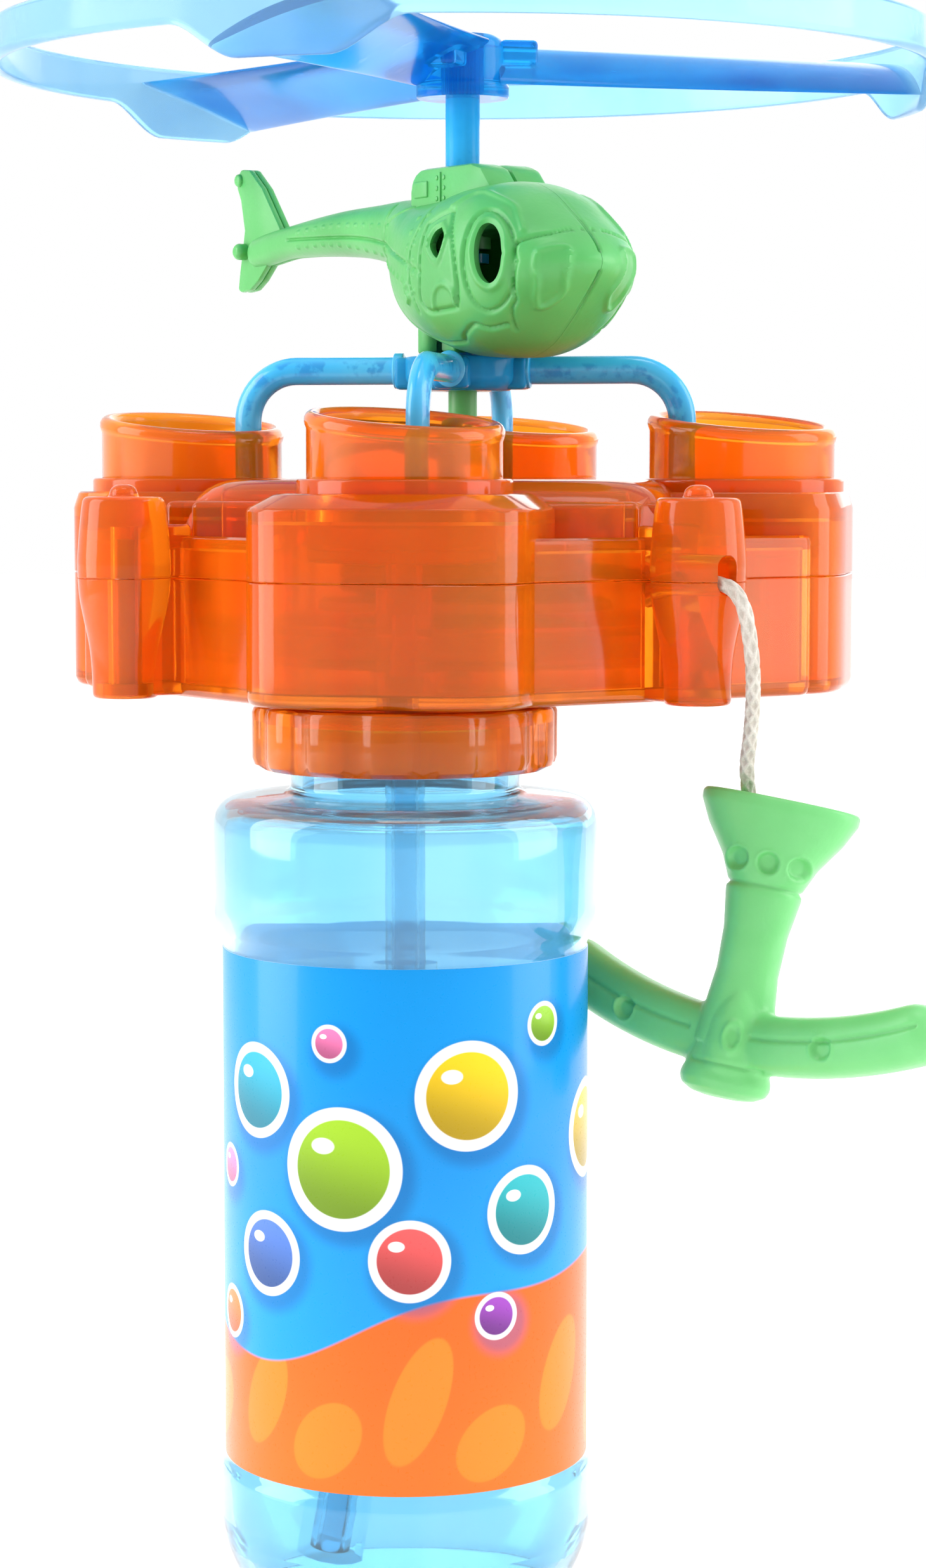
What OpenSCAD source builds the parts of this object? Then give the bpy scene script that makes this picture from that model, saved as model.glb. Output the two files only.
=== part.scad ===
// Bubble copter launcher: squeeze bottle, drum with four dipping cups, flying copter and pull cord.
// Units are millimetres. +Z is up, the origin is the centre of the bottle's flat base.

/* [Bottle] */
// Radius of the shoulder band
bottle_r = 23; // [22:0.1:24]
// Radius of the panel that carries the label
panel_r = 21.7; // [20.5:0.1:21.8]
// Thickness of the plastic wall
bottle_wall = 1.4; // [1:0.1:1.8]
// Outer radius of the neck
neck_r = 13.7; // [13:0.1:13.9]
// Radius of the standing ring
foot_r = 17.5; // [16:0.1:18]
// Height that the bubble solution reaches
liquid_top = 80; // [72:0.5:81]

/* [Collar] */
// Outer radius over the grip ribs
collar_r = 18.3; // [17.8:0.1:19]
// Number of grip ribs
collar_ribs = 14; // [10:1:20]

/* [Drum] */
// Distance of each cup from the spindle
cup_ring = 36; // [35.5:0.1:37]
// Half width of the lobe that stands over the bottle
lobe_half = 17.4; // [17.2:0.1:18]
// Reach of the other three lobes past the middle of their cups
lobe_reach = 13.7; // [13.6:0.1:14.2]
// Distance of the slanted walls from the spindle
wall_ring = 43.6; // [43.4:0.1:44.2]
// Distance of each corner tower from the spindle
tower_ring = 49.4; // [48.5:0.1:50]
// Wall of the two shells
shell_wall = 1.5; // [1.3:0.1:1.8]
// Height of the lower face of the drum
drum_bottom = 110.4; // [110.2:0.1:110.8]
// Height of the line where the shells meet
parting = 125; // [124.5:0.1:125.4]

/* [Cups] */
// Outer radius of a cup
cup_r = 11.7; // [11.4:0.1:11.8]
// Height of the rim at the cup's middle
cup_rim = 144; // [142:0.5:145]
// Slant of the four rims in degrees
rim_slant = 7; // [0:0.5:8]

/* [Copter] */
// Height of the middle of the four arms
arm_z = 150.65; // [150.4:0.05:150.9]
// Height of an arm's oval section
arm_tall = 3.6; // [3:0.1:3.7]
// Width of an arm's oval section
arm_wide = 2.8; // [2.4:0.1:3]
// Radius of each bubble ring
wand_r = 7.9; // [6.5:0.1:8.2]
// Heading of the nose, counted from +X
heading = -45; // [-60:1:-30]

/* [Rotor] */
// Outer radius of the rotor's hoop
hoop_r = 60; // [56:0.5:62]
// Height of the hoop's band
hoop_tall = 5.5; // [4.5:0.1:6]
// Width of a blade at the hoop
blade_tip = 19; // [14:0.5:22]
// Width of a blade at the hub
blade_root = 10; // [8:0.5:11]
// Azimuth of the first blade
blade_turn = 21; // [0:1:60]

/* [Pull handle] */
// Half length of the crossbar
bar_half = 28.5; // [25:0.5:29]
// Thickness of the crossbar
bar_thick = 7.2; // [6:0.1:7.6]
// Width of the flared top
flare_w = 19.3; // [17:0.1:20]
// Diameter of the pull cord
cord_d = 1.8; // [1.4:0.1:2]

/* [Hidden] */
$fn = 64;

orange = [0.98, 0.45, 0.06, 0.85];
sky = [0.05, 0.55, 0.9, 0.85];
leaf = [0.2, 0.62, 0.25];
mint = [0.3, 0.75, 0.4];

spindle_y = cup_ring;
neck_top = 107.9;
seal_top = 108.4;
flange_top = 109.2;
tube_r = 2.4;
tube_bore = 1.3;
tube_end_z = 7;
tube_shift = -9;

cup_wall = 1.4;
rim_bead = 0.95;
cup_floor = 127;
collar_step = 136.9;
lobe_shoulder = 133.5;
lobe_top = 135.2;
lobe_side = 15.2;
end_half = 46.2;
ledge = 130;
step_top = 134.2;
deck_top = 136.8;
gallery_z = 116.5;
gallery_r = 2.6;
gallery_ring = 32.4;

spindle_r = 1.85;
reel_r = 13;
reel_rim = 19;
reel_low = 120.2;
reel_high = 128.6;
run_z = 124.8;

hub_low = 148;
hub_high = 152.4;
hub_r = 7.4;
arm_bend = 6.5;
leg_r = 28.4;
ring_z = 132.5;
wand_wire = 1.4;
shaft_r = 2.2;
shaft_low = 150.3;

hoop_low = 188.2;
tab_half = 14;
tab_deep = 6.9;
rotor_hub_low = 185;
rotor_hub_high = 193;
rotor_hub_r = 5.9;

cup_spots = [[0, -1], [1, 0], [0, 1], [-1, 0]];
tower_turns = [-45, 45, 135, 225];
screw_turns = [45, 135, 225];

// Free stretch of the cord, from the outlet to inside the stem
cord_route = [[36.4, -0.4, 124.8], [38.2, -2.2, 124.7], [39.8, -3.5, 123.9], [40.9, -4.2, 122.1],
  [41.5, -4.1, 119.4], [41.8, -2.4, 115.2], [41.5, 0.8, 110.6], [40.9, 3.9, 106.6], [40.25, 6.6, 103.2],
  [40.1, 8.9, 100.4], [40.3, 10.3, 97.9], [40.7, 10.5, 95.6], [41.4, 9.95, 92.9], [42, 9.4, 90.4],
  [42.2, 8.85, 88], [41.8, 8.4, 85.7], [41.25, 7.85, 82.6]];

// Held stretch of the cord, from the winding to the outlet
run_route = [[15.6, 43.8, 124.8], [23.9, 24, 124.8], [30.5, 8, 124.8], [32.4, 4.2, 124.8], [34, 2, 124.8],
  [36.3, -0.3, 124.8]];

// Pose of the hanging handle: middle of its flared top, lean to the side and to the front, headings
grip_at = [44.1, 10.7, 98.25];
grip_lean = 12;
grip_nod = 8;
bar_turn = -30;
face_turn = 2;
view_turn = 11;

function seg(a, b, t) = a + (b - a) * t;
function unit(v) = v / norm(v);
function tangent(p, i) = unit(p[min(i + 1, len(p) - 1)] - p[max(i - 1, 0)]);

// Closed ring of points with a rounded-rectangle feel: power 2 is an ellipse
function oval(w, h, n, power) = [for (k = [0 : n - 1])
  let (a = 360 * k / n, c = cos(a), s = sin(a))
  [w * sign(c) * pow(abs(c), 2 / power), h * sign(s) * pow(abs(s), 2 / power)]];

// Solid through a list of rings that all have the same number of points; strips closes curved ends
module loft(rings, strips = false) {
  n = len(rings[0]);
  m = len(rings);
  end = (m - 1) * n;
  pts = [for (r = rings) for (p = r) p];
  sides = [for (i = [0 : m - 2]) for (k = [0 : n - 1])
    [i * n + k, (i + 1) * n + k, (i + 1) * n + (k + 1) % n, i * n + (k + 1) % n]];
  first = strips ? [for (k = [0 : n / 2 - 2]) [k, k + 1, n - 2 - k, n - 1 - k]] : [[for (k = [0 : n - 1]) k]];
  last = strips ? [for (k = [0 : n / 2 - 2]) [end + n - 1 - k, end + n - 2 - k, end + k + 1, end + k]]
    : [[for (k = [n - 1 : -1 : 0]) end + k]];
  polyhedron(points = pts, faces = concat(sides, first, last), convexity = 6);
}

// Round tube along a route of points
module sweep(route, r, n) {
  rings = [for (i = [0 : len(route) - 1])
    let (t = tangent(route, i), side = unit(cross(t, [0.13, 0.98, 0.15])), up = cross(side, t))
    [for (k = [0 : n - 1]) let (a = -360 * k / n) route[i] + r * (cos(a) * side + sin(a) * up)]];
  loft(rings);
}

module tube(r_out, r_in, z0, z1) {
  translate([0, 0, z0])
    difference() {
      cylinder(h = z1 - z0, r = r_out);
      translate([0, 0, -1]) cylinder(h = z1 - z0 + 2, r = r_in);
    }
}

module at_spindle() {
  translate([0, spindle_y, 0]) children();
}

module at_cup(k) {
  translate([cup_ring * cup_spots[k][0], spindle_y + cup_ring * cup_spots[k][1], 0]) children();
}

// Bottle body

module bottle() {
  color([0.5, 0.8, 0.98, 0.5])
  rotate_extrude($fn = 96)
  polygon([[0, 0], [foot_r, 0], [foot_r + 1.2, 0.9],
    [bottle_r - 0.9, 8.8], [bottle_r - 0.4, 10.4], [bottle_r - 0.4, 18.4], [panel_r, 19.8],
    [panel_r, 82], [bottle_r, 84.4], [bottle_r, 95.6], [bottle_r - 0.3, 97.2], [bottle_r - 1.1, 98.4],
    [bottle_r - 2.9, 99.2], [bottle_r - 6, 99.6], [neck_r + 0.9, 99.8], [neck_r, 100.5], [neck_r, neck_top],
    [neck_r - bottle_wall, neck_top], [neck_r - bottle_wall, 99], [bottle_r - 6.2, 98.1],
    [bottle_r - 3.5, 97.7], [bottle_r - 2.1, 96.8], [bottle_r - bottle_wall, 95.1], [bottle_r - bottle_wall, 85], [panel_r - bottle_wall, 82.9],
    [panel_r - bottle_wall, 18.9], [bottle_r - 0.4 - bottle_wall, 17.9],
    [bottle_r - 0.4 - bottle_wall, 10.6], [foot_r, 2.5], [0, 2.2]]);
}

module bottle_label() {
  color([0.05, 0.5, 0.9]) tube(panel_r + 0.2, panel_r, 19.9, 81.3);
}

// Route of the dip tube: straight through the neck, then bent to the foot of the wall
module tube_path(r, over, sides) {
  sweep([[0, 0, gallery_z - 3 + over], [0, 0, 70], [-0.4, 0, 62], [-1.2, 0, 54], [-2.5, 0, 45],
    [tube_shift, 0, tube_end_z - over]], r, sides);
}

module bubble_solution() {
  color([0.6, 0.85, 1, 0.4])
  difference() {
    rotate_extrude($fn = 96)
    polygon([[0, 2.3], [foot_r - 0.1, 2.6], [bottle_r - 0.5 - bottle_wall, 10.7],
      [bottle_r - 0.5 - bottle_wall, 17.9], [panel_r - bottle_wall - 0.05, 19],
      [panel_r - bottle_wall - 0.05, liquid_top], [0, liquid_top]]);
    tube_path(tube_r + 1.5, 1, 12);
  }
}

module dip_tube() {
  color([0.92, 0.94, 0.95, 0.7])
  difference() {
    tube_path(tube_r, 0, 16);
    tube_path(tube_bore, 1, 12);
  }
}

module neck_seal() {
  color([0.9, 0.9, 0.88]) tube(neck_r - 0.2, 8, neck_top, seal_top);
}

module screw_collar() {
  color(orange)
  difference() {
    union() {
      translate([0, 0, 103.3]) cylinder(h = 6.8, r = collar_r - 0.7);
      translate([0, 0, 102.5]) cylinder(h = 0.8, r1 = collar_r - 1.5, r2 = collar_r - 0.7);
      for (k = [0 : collar_ribs - 1])
        rotate([0, 0, 360 * k / collar_ribs])
          translate([collar_r - 1.2, 0, 103.3]) cylinder(h = 6.8, r = 1.2, $fn = 24);
    }
    translate([0, 0, 102]) cylinder(h = 6.1, r = neck_r + 0.5);
    translate([0, 0, 108.1]) cylinder(h = flange_top + 0.3 - 108.1, r = 16.5);
    translate([0, 0, 109]) cylinder(h = 2, r = 14.6);
  }
}

// Drum

// Outline of one lobe: a square with well rounded corners
function lobe_ring(k, inset) =
  k == 0 ? oval(lobe_half - inset, lobe_half - 0.1 - inset, 48, 4)
  : k == 2 ? oval(lobe_side - inset, lobe_reach - inset, 48, 4)
  : oval(lobe_reach - inset, lobe_side - inset, 48, 4);

// Eight-sided outline of the body between the lobes
module octagon(inset) {
  c = (wall_ring - inset) * sqrt(2);
  t = end_half - inset;
  polygon([[t, c - t], [c - t, t], [t - c, t], [-t, c - t], [-t, t - c], [t - c, -t], [c - t, -t], [t, t - c]]);
}

module lobe_plan(k, inset) {
  translate(cup_ring * cup_spots[k]) polygon(lobe_ring(k, inset));
}

module body_plan(inset) {
  octagon(inset);
  for (k = [0 : 3])
    lobe_plan(k, inset);
}

// Sloping rim between a lobe's wall and its top
module lobe_rim(k) {
  shrink = k == 0 ? 3.1 : 0.65;
  low = lobe_ring(k, 0);
  high = lobe_ring(k, shrink);
  translate([cup_ring * cup_spots[k][0], cup_ring * cup_spots[k][1], 0])
    loft([[for (p = low) [p[0], p[1], lobe_shoulder - 0.4]], [for (p = low) [p[0], p[1], lobe_shoulder]],
      [for (p = high) [p[0], p[1], lobe_top]]]);
}

module screw_bore(z0, z1, r) {
  for (a = screw_turns)
    rotate([0, 0, a]) translate([tower_ring, 0, z0]) cylinder(h = z1 - z0, r = r, $fn = 32);
}

module lower_shell() {
  color(orange)
  difference() {
    union() {
      at_spindle()
        difference() {
          union() {
            translate([0, 0, drum_bottom + 0.8])
              linear_extrude(parting - 0.15 - drum_bottom - 0.8) body_plan(0);
            translate([0, 0, drum_bottom])
              linear_extrude(0.8) body_plan(0.7);
            for (a = tower_turns)
              rotate([0, 0, a]) {
                translate([tower_ring, 0, 0]) tower_foot();
                translate([42.4, -3.4, drum_bottom + 0.3])
                  cube([tower_ring - 42.4, 6.8, parting - 0.15 - drum_bottom - 0.3]);
              }
          }
          translate([0, 0, drum_bottom + shell_wall]) linear_extrude(20) body_plan(shell_wall);
          screw_bore(drum_bottom - 1, parting + 1, 1.55);
          screw_bore(drum_bottom - 1, 112.2, 2.8);
        }
      at_spindle() translate([0, 0, drum_bottom]) cylinder(h = 3.4, r = 4.2);
      translate([0, 0, seal_top]) cylinder(h = flange_top - seal_top, r = 16.2);
      translate([0, 0, seal_top]) cylinder(h = drum_bottom + shell_wall - seal_top, r = 14.2);
    }
    translate([0, 0, seal_top - 1]) cylinder(h = 8, r = tube_r + 0.05);
    at_spindle() translate([0, 0, 111.6]) cylinder(h = 4, r = 2.05);
    outlet_cut();
  }
}

// Arched way out for the cord in the front right tower, with its base on the parting line
module outlet_cut() {
  at_spindle()
    rotate([0, 0, -45])
      translate([tower_ring - 8, 0, run_z]) rotate([0, 90, 0]) {
        cylinder(h = 16, r = 1.35, $fn = 32);
        cylinder(h = 5.4, r1 = 4, r2 = 1.35, $fn = 32);
      }
}

// Lower half of a corner tower, drawn in below the parting line
module tower_foot() {
  top = parting - 0.15;
  rotate_extrude($fn = 48)
    polygon([[0, drum_bottom], [3.7, drum_bottom], [3.95, drum_bottom + 0.5], [4.05, top - 11.3], [4.3, top - 8.1],
      [4.65, top - 6.3], [5.25, top - 3.6], [5.55, top - 1.8], [5.65, top], [0, top]]);
}

// Upper half of a corner tower with its knob
module tower_cap() {
  rotate_extrude($fn = 48)
    polygon([[0, parting], [5.65, parting], [5.7, parting + 2], [5.5, parting + 5], [5.2, parting + 8],
      [4.9, parting + 9.2], [4.3, parting + 9.75], [0, parting + 9.75]]);
  translate([0, 0, parting + 9.5]) sphere(r = 1.75);
}

module deck() {
  hull() {
    for (x = [-1, 1], y = [-1, 1])
      translate([24.7 * x, 24.7 * y, ledge - 0.5]) cylinder(h = 0.5, r = 6, $fn = 32);
    for (x = [-1, 1], y = [-1, 1])
      translate([22.9 * x, 22.9 * y, deck_top - 2.6]) cylinder(h = 0.5, r = 6, $fn = 32);
    for (x = [-1, 1], y = [-1, 1])
      translate([20 * x, 20 * y, deck_top - 0.5]) cylinder(h = 0.5, r = 6, $fn = 32);
  }
}

module step_block() {
  for (turn = [0, 90])
    rotate([0, 0, turn])
      translate([-27.5, -32, ledge - 0.5]) cube([55, 64, step_top - 1 - ledge + 0.5]);
  for (turn = [0, 90])
    rotate([0, 0, turn])
      translate([-26.7, -31.2, step_top - 1.1]) cube([53.4, 62.4, 1.1]);
}

module upper_shell() {
  color(orange)
  at_spindle()
    difference() {
      union() {
        for (k = [0 : 3])
          translate([0, 0, parting]) linear_extrude(lobe_shoulder - 0.2 - parting) lobe_plan(k, 0);
        translate([0, 0, parting]) linear_extrude(ledge - 0.6 - parting) octagon(0);
        translate([0, 0, ledge - 0.6]) linear_extrude(0.6) octagon(0.6);
        step_block();
        deck();
        for (k = [0 : 3]) {
          lobe_rim(k);
          translate([cup_ring * cup_spots[k][0], cup_ring * cup_spots[k][1], lobe_top - 0.5])
            cylinder(h = collar_step - lobe_top + 0.5, r = 12.9, $fn = 96);
        }
        for (a = tower_turns)
          rotate([0, 0, a]) {
            translate([tower_ring, 0, 0]) tower_cap();
            translate([42.4, -3.4, parting]) cube([tower_ring - 42.4, 6.8, 6.4]);
          }
      }
      // Hollow inside
      difference() {
        union() {
          translate([0, 0, parting - 1]) linear_extrude(ledge - shell_wall - parting + 1) octagon(shell_wall);
          translate([-25, -25, parting]) cube([50, 50, deck_top - shell_wall - 1 - parting]);
          for (k = [0 : 3])
            translate([0, 0, parting - 1])
              linear_extrude(lobe_shoulder - shell_wall - parting + 1) lobe_plan(k, shell_wall);
        }
        translate([0, 0, 130.4]) cylinder(h = 8, r = 4.4);
      }
      for (s = cup_spots)
        translate([cup_ring * s[0], cup_ring * s[1], parting]) cylinder(h = 30, r = cup_r + 0.05, $fn = 96);
      translate([0, 0, 129]) cylinder(h = 10, r = spindle_r + 0.05);
      screw_bore(parting - 1, 131, 1.2);
      translate([0, -spindle_y, 0]) outlet_cut();
    }
}

module cup(k) {
  lean_to = -45;
  color(orange)
  at_cup(k) {
    difference() {
      union() {
        translate([0, 0, cup_floor]) cylinder(h = 25, r = cup_r, $fn = 96);
        translate([0, 0, cup_floor - 6]) cylinder(h = 6, r = 2.2);
      }
      translate([0, 0, cup_floor + cup_wall]) cylinder(h = 30, r = cup_r - cup_wall, $fn = 96);
      translate([0, 0, cup_floor - 7]) cylinder(h = 14, r = 1.1);
      translate([0, 0, cup_rim - 0.7]) rotate([0, 0, lean_to]) rotate([0, rim_slant, 0])
        translate([-40, -40, 0]) cube([80, 80, 40]);
    }
    translate([0, 0, cup_rim - 0.7]) rotate([0, 0, lean_to]) rotate([0, rim_slant, 0])
      rotate_extrude($fn = 96) translate([cup_r - cup_wall / 2, 0]) circle(r = rim_bead, $fn = 24);
  }
}

module cup_front() {
  cup(0);
}

module cup_right() {
  cup(1);
}

module cup_back() {
  cup(2);
}

module cup_left() {
  cup(3);
}

// Ring pipe that feeds the four cups from the dip tube
module feed_manifold() {
  color([0.95, 0.6, 0.2, 0.8])
  difference() {
    union() {
      at_spindle() translate([0, 0, gallery_z])
        rotate_extrude($fn = 96) translate([gallery_ring, 0]) circle(r = gallery_r, $fn = 32);
      for (k = [0 : 3])
        at_spindle() rotate([0, 0, 90 * k]) translate([gallery_ring, 0, gallery_z]) rotate([0, 90, 0])
          cylinder(h = cup_ring - gallery_ring, r = gallery_r + 0.3, $fn = 32);
      for (k = [0 : 3])
        at_cup(k) translate([0, 0, gallery_z - 3.3]) cylinder(h = 10.8, r = 3.4);
      translate([0, 0, drum_bottom + shell_wall + 0.02])
        cylinder(h = gallery_z - 2.4 - drum_bottom - shell_wall, r = 4);
    }
    at_spindle() translate([0, 0, gallery_z])
      rotate_extrude($fn = 96) translate([gallery_ring, 0]) circle(r = gallery_r - 1.1, $fn = 32);
    for (k = [0 : 3])
      at_spindle() rotate([0, 0, 90 * k]) translate([gallery_ring, 0, gallery_z]) rotate([0, 90, 0])
        cylinder(h = cup_ring - gallery_ring, r = gallery_r - 1.4, $fn = 32);
    for (k = [0 : 3])
      at_cup(k) translate([0, 0, cup_floor - 6.1]) cylinder(h = 12, r = 2.22);
    for (k = [0 : 3])
      at_cup(k) translate([0, 0, gallery_z]) cylinder(h = 12, r = 1.1);
    translate([0, 0, 105]) cylinder(h = gallery_z - 2.9 - 105, r = tube_r + 0.02);
    translate([0, 0, 105]) cylinder(h = gallery_z - 105, r = tube_bore);
  }
}

module drum_screws() {
  color([0.75, 0.76, 0.78])
  at_spindle()
    for (a = screw_turns)
      rotate([0, 0, a]) translate([tower_ring, 0, 0])
        difference() {
          union() {
            translate([0, 0, 110.9]) cylinder(h = 1.3, r = 2.6, $fn = 32);
            translate([0, 0, 112.2]) cylinder(h = 17.3, r = 1.2, $fn = 32);
          }
          translate([-1.6, -0.3, 110]) cube([3.2, 0.6, 1.5]);
          translate([-0.3, -1.6, 110]) cube([0.6, 3.2, 1.5]);
        }
}

// Flat spiral spring under the reel
module recoil_spring() {
  turns = 5;
  steps = 100;
  color([0.6, 0.62, 0.65])
  at_spindle() translate([0, 0, 114.4])
    linear_extrude(4.4)
      polygon(concat(
        [for (k = [0 : steps]) let (a = 360 * turns * k / steps, r = seg(5.6, 16, k / steps))
          [r * cos(a), r * sin(a)]],
        [for (k = [steps : -1 : 0]) let (a = 360 * turns * k / steps, r = seg(5.6, 16, k / steps) - 0.6)
          [r * cos(a), r * sin(a)]]));
}

module cord_reel() {
  color([0.95, 0.95, 0.92])
  at_spindle()
    difference() {
      union() {
        translate([0, 0, reel_low]) cylinder(h = 1.2, r = reel_rim);
        translate([0, 0, reel_low]) cylinder(h = reel_high - reel_low, r = reel_r);
        translate([0, 0, reel_high - 1.2]) cylinder(h = 1.2, r = reel_rim);
        translate([0, 0, 114.2]) cylinder(h = 7, r = 4.4);
      }
      translate([0, 0, 110]) cylinder(h = 30, r = spindle_r + 0.02);
      for (k = [0 : 5])
        rotate([0, 0, 60 * k]) translate([8.4, 0, reel_low - 1]) cylinder(h = 20, r = 2.6, $fn = 32);
    }
}

module drive_spindle() {
  color(leaf)
  at_spindle() {
    translate([0, 0, 111.8]) cylinder(h = 150 - 111.8, r = spindle_r);
    translate([-0.5, -1.4, 149.5]) cube([1, 2.8, 3]);
  }
}

module cord_winding() {
  color([0.93, 0.9, 0.84])
  at_spindle()
    rotate_extrude($fn = 72)
      polygon([[reel_r, reel_low + 1.2], [15.4, reel_low + 1.2], [16, reel_low + 2], [16, reel_high - 2],
        [15.4, reel_high - 1.2], [reel_r, reel_high - 1.2]]);
}

// Cord inside the drum, from the winding to the foot of the outlet
module cord_run() {
  color([0.93, 0.9, 0.84]) sweep(run_route, cord_d / 2, 8);
}

module pull_cord() {
  color([0.93, 0.9, 0.84]) sweep(cord_route, cord_d / 2, 8);
}

// Pull handle, drawn with its flared top at the origin and then hung in place
module hang(turn) {
  translate(grip_at)
    rotate([0, 0, view_turn]) rotate([0, grip_lean, 0]) rotate([-grip_nod, 0, 0])
      rotate([0, 0, turn - view_turn]) children();
}

module grip_body() {
  stations = [[0, 1, 0.62], [-1.2, 1, 0.64], [-4, 0.86, 0.6], [-7.5, 0.6, 0.54], [-9.6, 0.51, 0.5],
    [-10.2, 0.47, 0.46], [-10.9, 0.47, 0.46], [-11.4, 0.48, 0.48], [-16, 0.4, 0.41], [-21, 0.39, 0.4],
    [-24, 0.43, 0.42], [-30, 0.5, 0.44]];
  half = flare_w / 2;
  loft([for (s = stations) [for (p = oval(half * s[1], half * s[2], 32, 2.4)) [p[0], -p[1], s[0]]]]);
}

module grip_bar() {
  sag = 66;
  stations = 15;
  loft([for (i = [0 : stations - 1])
    let (u = seg(-1, 1, i / (stations - 1)),
      x = bar_half * sign(u) * (1 - pow(1 - abs(u), 1.6)),
      a = asin(x / sag),
      z = sag - sag * cos(a) - 29.2,
      e = (bar_half - abs(x)) / 3.4,
      f = e >= 1 ? 1 : max(0.25, sqrt(1 - (1 - e) * (1 - e))))
    [for (p = oval(bar_thick / 2 * f, 3.4 * f, 20, 2.5))
      [x - p[0] * sin(a), -p[1], z + p[0] * cos(a)]]]);
}

module pull_handle() {
  color(mint)
  difference() {
    union() {
      hang(face_turn) grip_body();
      hang(bar_turn) grip_bar();
      hang(face_turn) translate([0, 0, -36])
        loft([for (s = [[0, 0.9], [0.7, 1], [2.6, 1], [4.4, 0.94]])
          [for (p = oval(5.3 * s[1], 4.4 * s[1], 24, 2.3)) [p[0], p[1], s[0]]]]);
    }
    hang(face_turn) {
      translate([0, 0, -7.4])
        loft([for (s = [[0, 0.36], [3, 0.46], [5.4, 0.72], [7.5, 0.87]])
          [for (p = oval(flare_w / 2 * s[1], flare_w / 2 * s[1] * 0.6, 24, 2.4)) [p[0], p[1], s[0]]]]);
      translate([0, 0, -20]) cylinder(h = 20, r = 1.9, $fn = 24);
      for (x = [-3.7, 0, 3.7])
        translate([x, -6.2, -7.9]) rotate([-90, 0, 0]) cylinder(h = 2, r = 1.1, $fn = 20);
    }
  }
}

module cord_knot() {
  color([0.93, 0.9, 0.84])
  hang(face_turn) translate([0, 0, -18.1]) sphere(r = 1.85, $fn = 32);
}

// Copter

module arm_hub() {
  color(sky)
  at_spindle()
    difference() {
      union() {
        translate([0, 0, hub_low + 0.8]) cylinder(h = hub_high - hub_low - 0.8, r = hub_r);
        translate([0, 0, hub_low]) cylinder(h = 0.8, r1 = hub_r - 0.8, r2 = hub_r);
      }
      translate([0, 0, hub_low - 1]) cylinder(h = 8, r = shaft_r + 0.05);
      for (k = [0 : 3])
        rotate([0, 0, 90 * k]) translate([4.4, 0, arm_z]) rotate([0, 90, 0])
          linear_extrude(6) polygon(oval(arm_tall / 2 + 0.02, arm_wide / 2 + 0.02, 24, 2));
    }
}

module wand(k) {
  straight = leg_r - arm_bend;
  leg_top = arm_z - arm_bend;
  color(sky)
  at_spindle()
    rotate([0, 0, -90 + 90 * k]) {
      translate([4.4, 0, arm_z]) rotate([0, 90, 0])
        linear_extrude(straight - 4.4) polygon(oval(arm_tall / 2, arm_wide / 2, 24, 2));
      translate([straight, 0, leg_top]) rotate([90, 0, 0])
        rotate_extrude(angle = 90) translate([arm_bend, 0]) polygon(oval(arm_tall / 2, arm_wide / 2, 24, 2));
      translate([leg_r, 0, ring_z - 0.8])
        linear_extrude(leg_top - ring_z + 0.8) polygon(oval(arm_tall / 2, arm_wide / 2, 24, 2));
      translate([hub_r + 0.1, 0, arm_z]) rotate([0, 90, 0])
        linear_extrude(1.5) polygon(oval(arm_tall / 2 + 0.5, arm_wide / 2 + 0.6, 24, 2));
      translate([cup_ring, 0, ring_z])
        rotate_extrude($fn = 64) translate([wand_r, 0]) circle(r = wand_wire, $fn = 24);
    }
}

module wand_front() {
  wand(0);
}

module wand_right() {
  wand(1);
}

module wand_back() {
  wand(2);
}

module wand_left() {
  wand(3);
}

// Fuselage stations: place along the nose axis, half width, lowest height, highest height, squareness
hull_rings = [[-52, 1.4, 166.7, 169.5, 2.2], [-50, 2.1, 166, 170.3, 2.2], [-40, 2.4, 166.9, 171.5, 2.2],
  [-28, 2.9, 166.5, 172.5, 2.2], [-18, 3.5, 165.4, 172.8, 2.2], [-11, 4.8, 163.2, 173, 2.3],
  [-6, 7.5, 158.3, 173.2, 2.4], [-2, 9.6, 155.2, 173.4, 2.4], [3, 11.2, 153.5, 173.7, 2.5],
  [9, 12, 152.1, 174, 2.5], [15, 11.9, 151.9, 173.5, 2.4], [20, 11, 153.4, 172, 2.3],
  [24, 9.3, 156.3, 169.4, 2.2], [27, 7.1, 159, 167.2, 2.1], [29, 4.6, 161, 165.4, 2],
  [30, 1.8, 162.2, 163.8, 2]];

module fuselage(inset) {
  loft([for (s = hull_rings)
    let (w = max(0.4, s[1] - inset), mid = (s[2] + s[3]) / 2, h = max(0.4, (s[3] - s[2]) / 2 - inset),
      x = s[0] > 20 ? s[0] - inset : s[0] < -30 ? s[0] + inset : s[0])
    [for (p = oval(w, h, 32, s[4])) [x, p[0], mid + p[1]]]]);
}

module tail_fin() {
  rotate([90, 0, 0])
    translate([0, 0, -1])
      linear_extrude(2)
        polygon([[-43, 170.5], [-48.8, 177.2], [-52.4, 180], [-55.6, 180], [-55.2, 177], [-53.4, 171],
          [-54.6, 165.6], [-55.4, 163], [-51.6, 163], [-47, 166.6]]);
}

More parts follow.
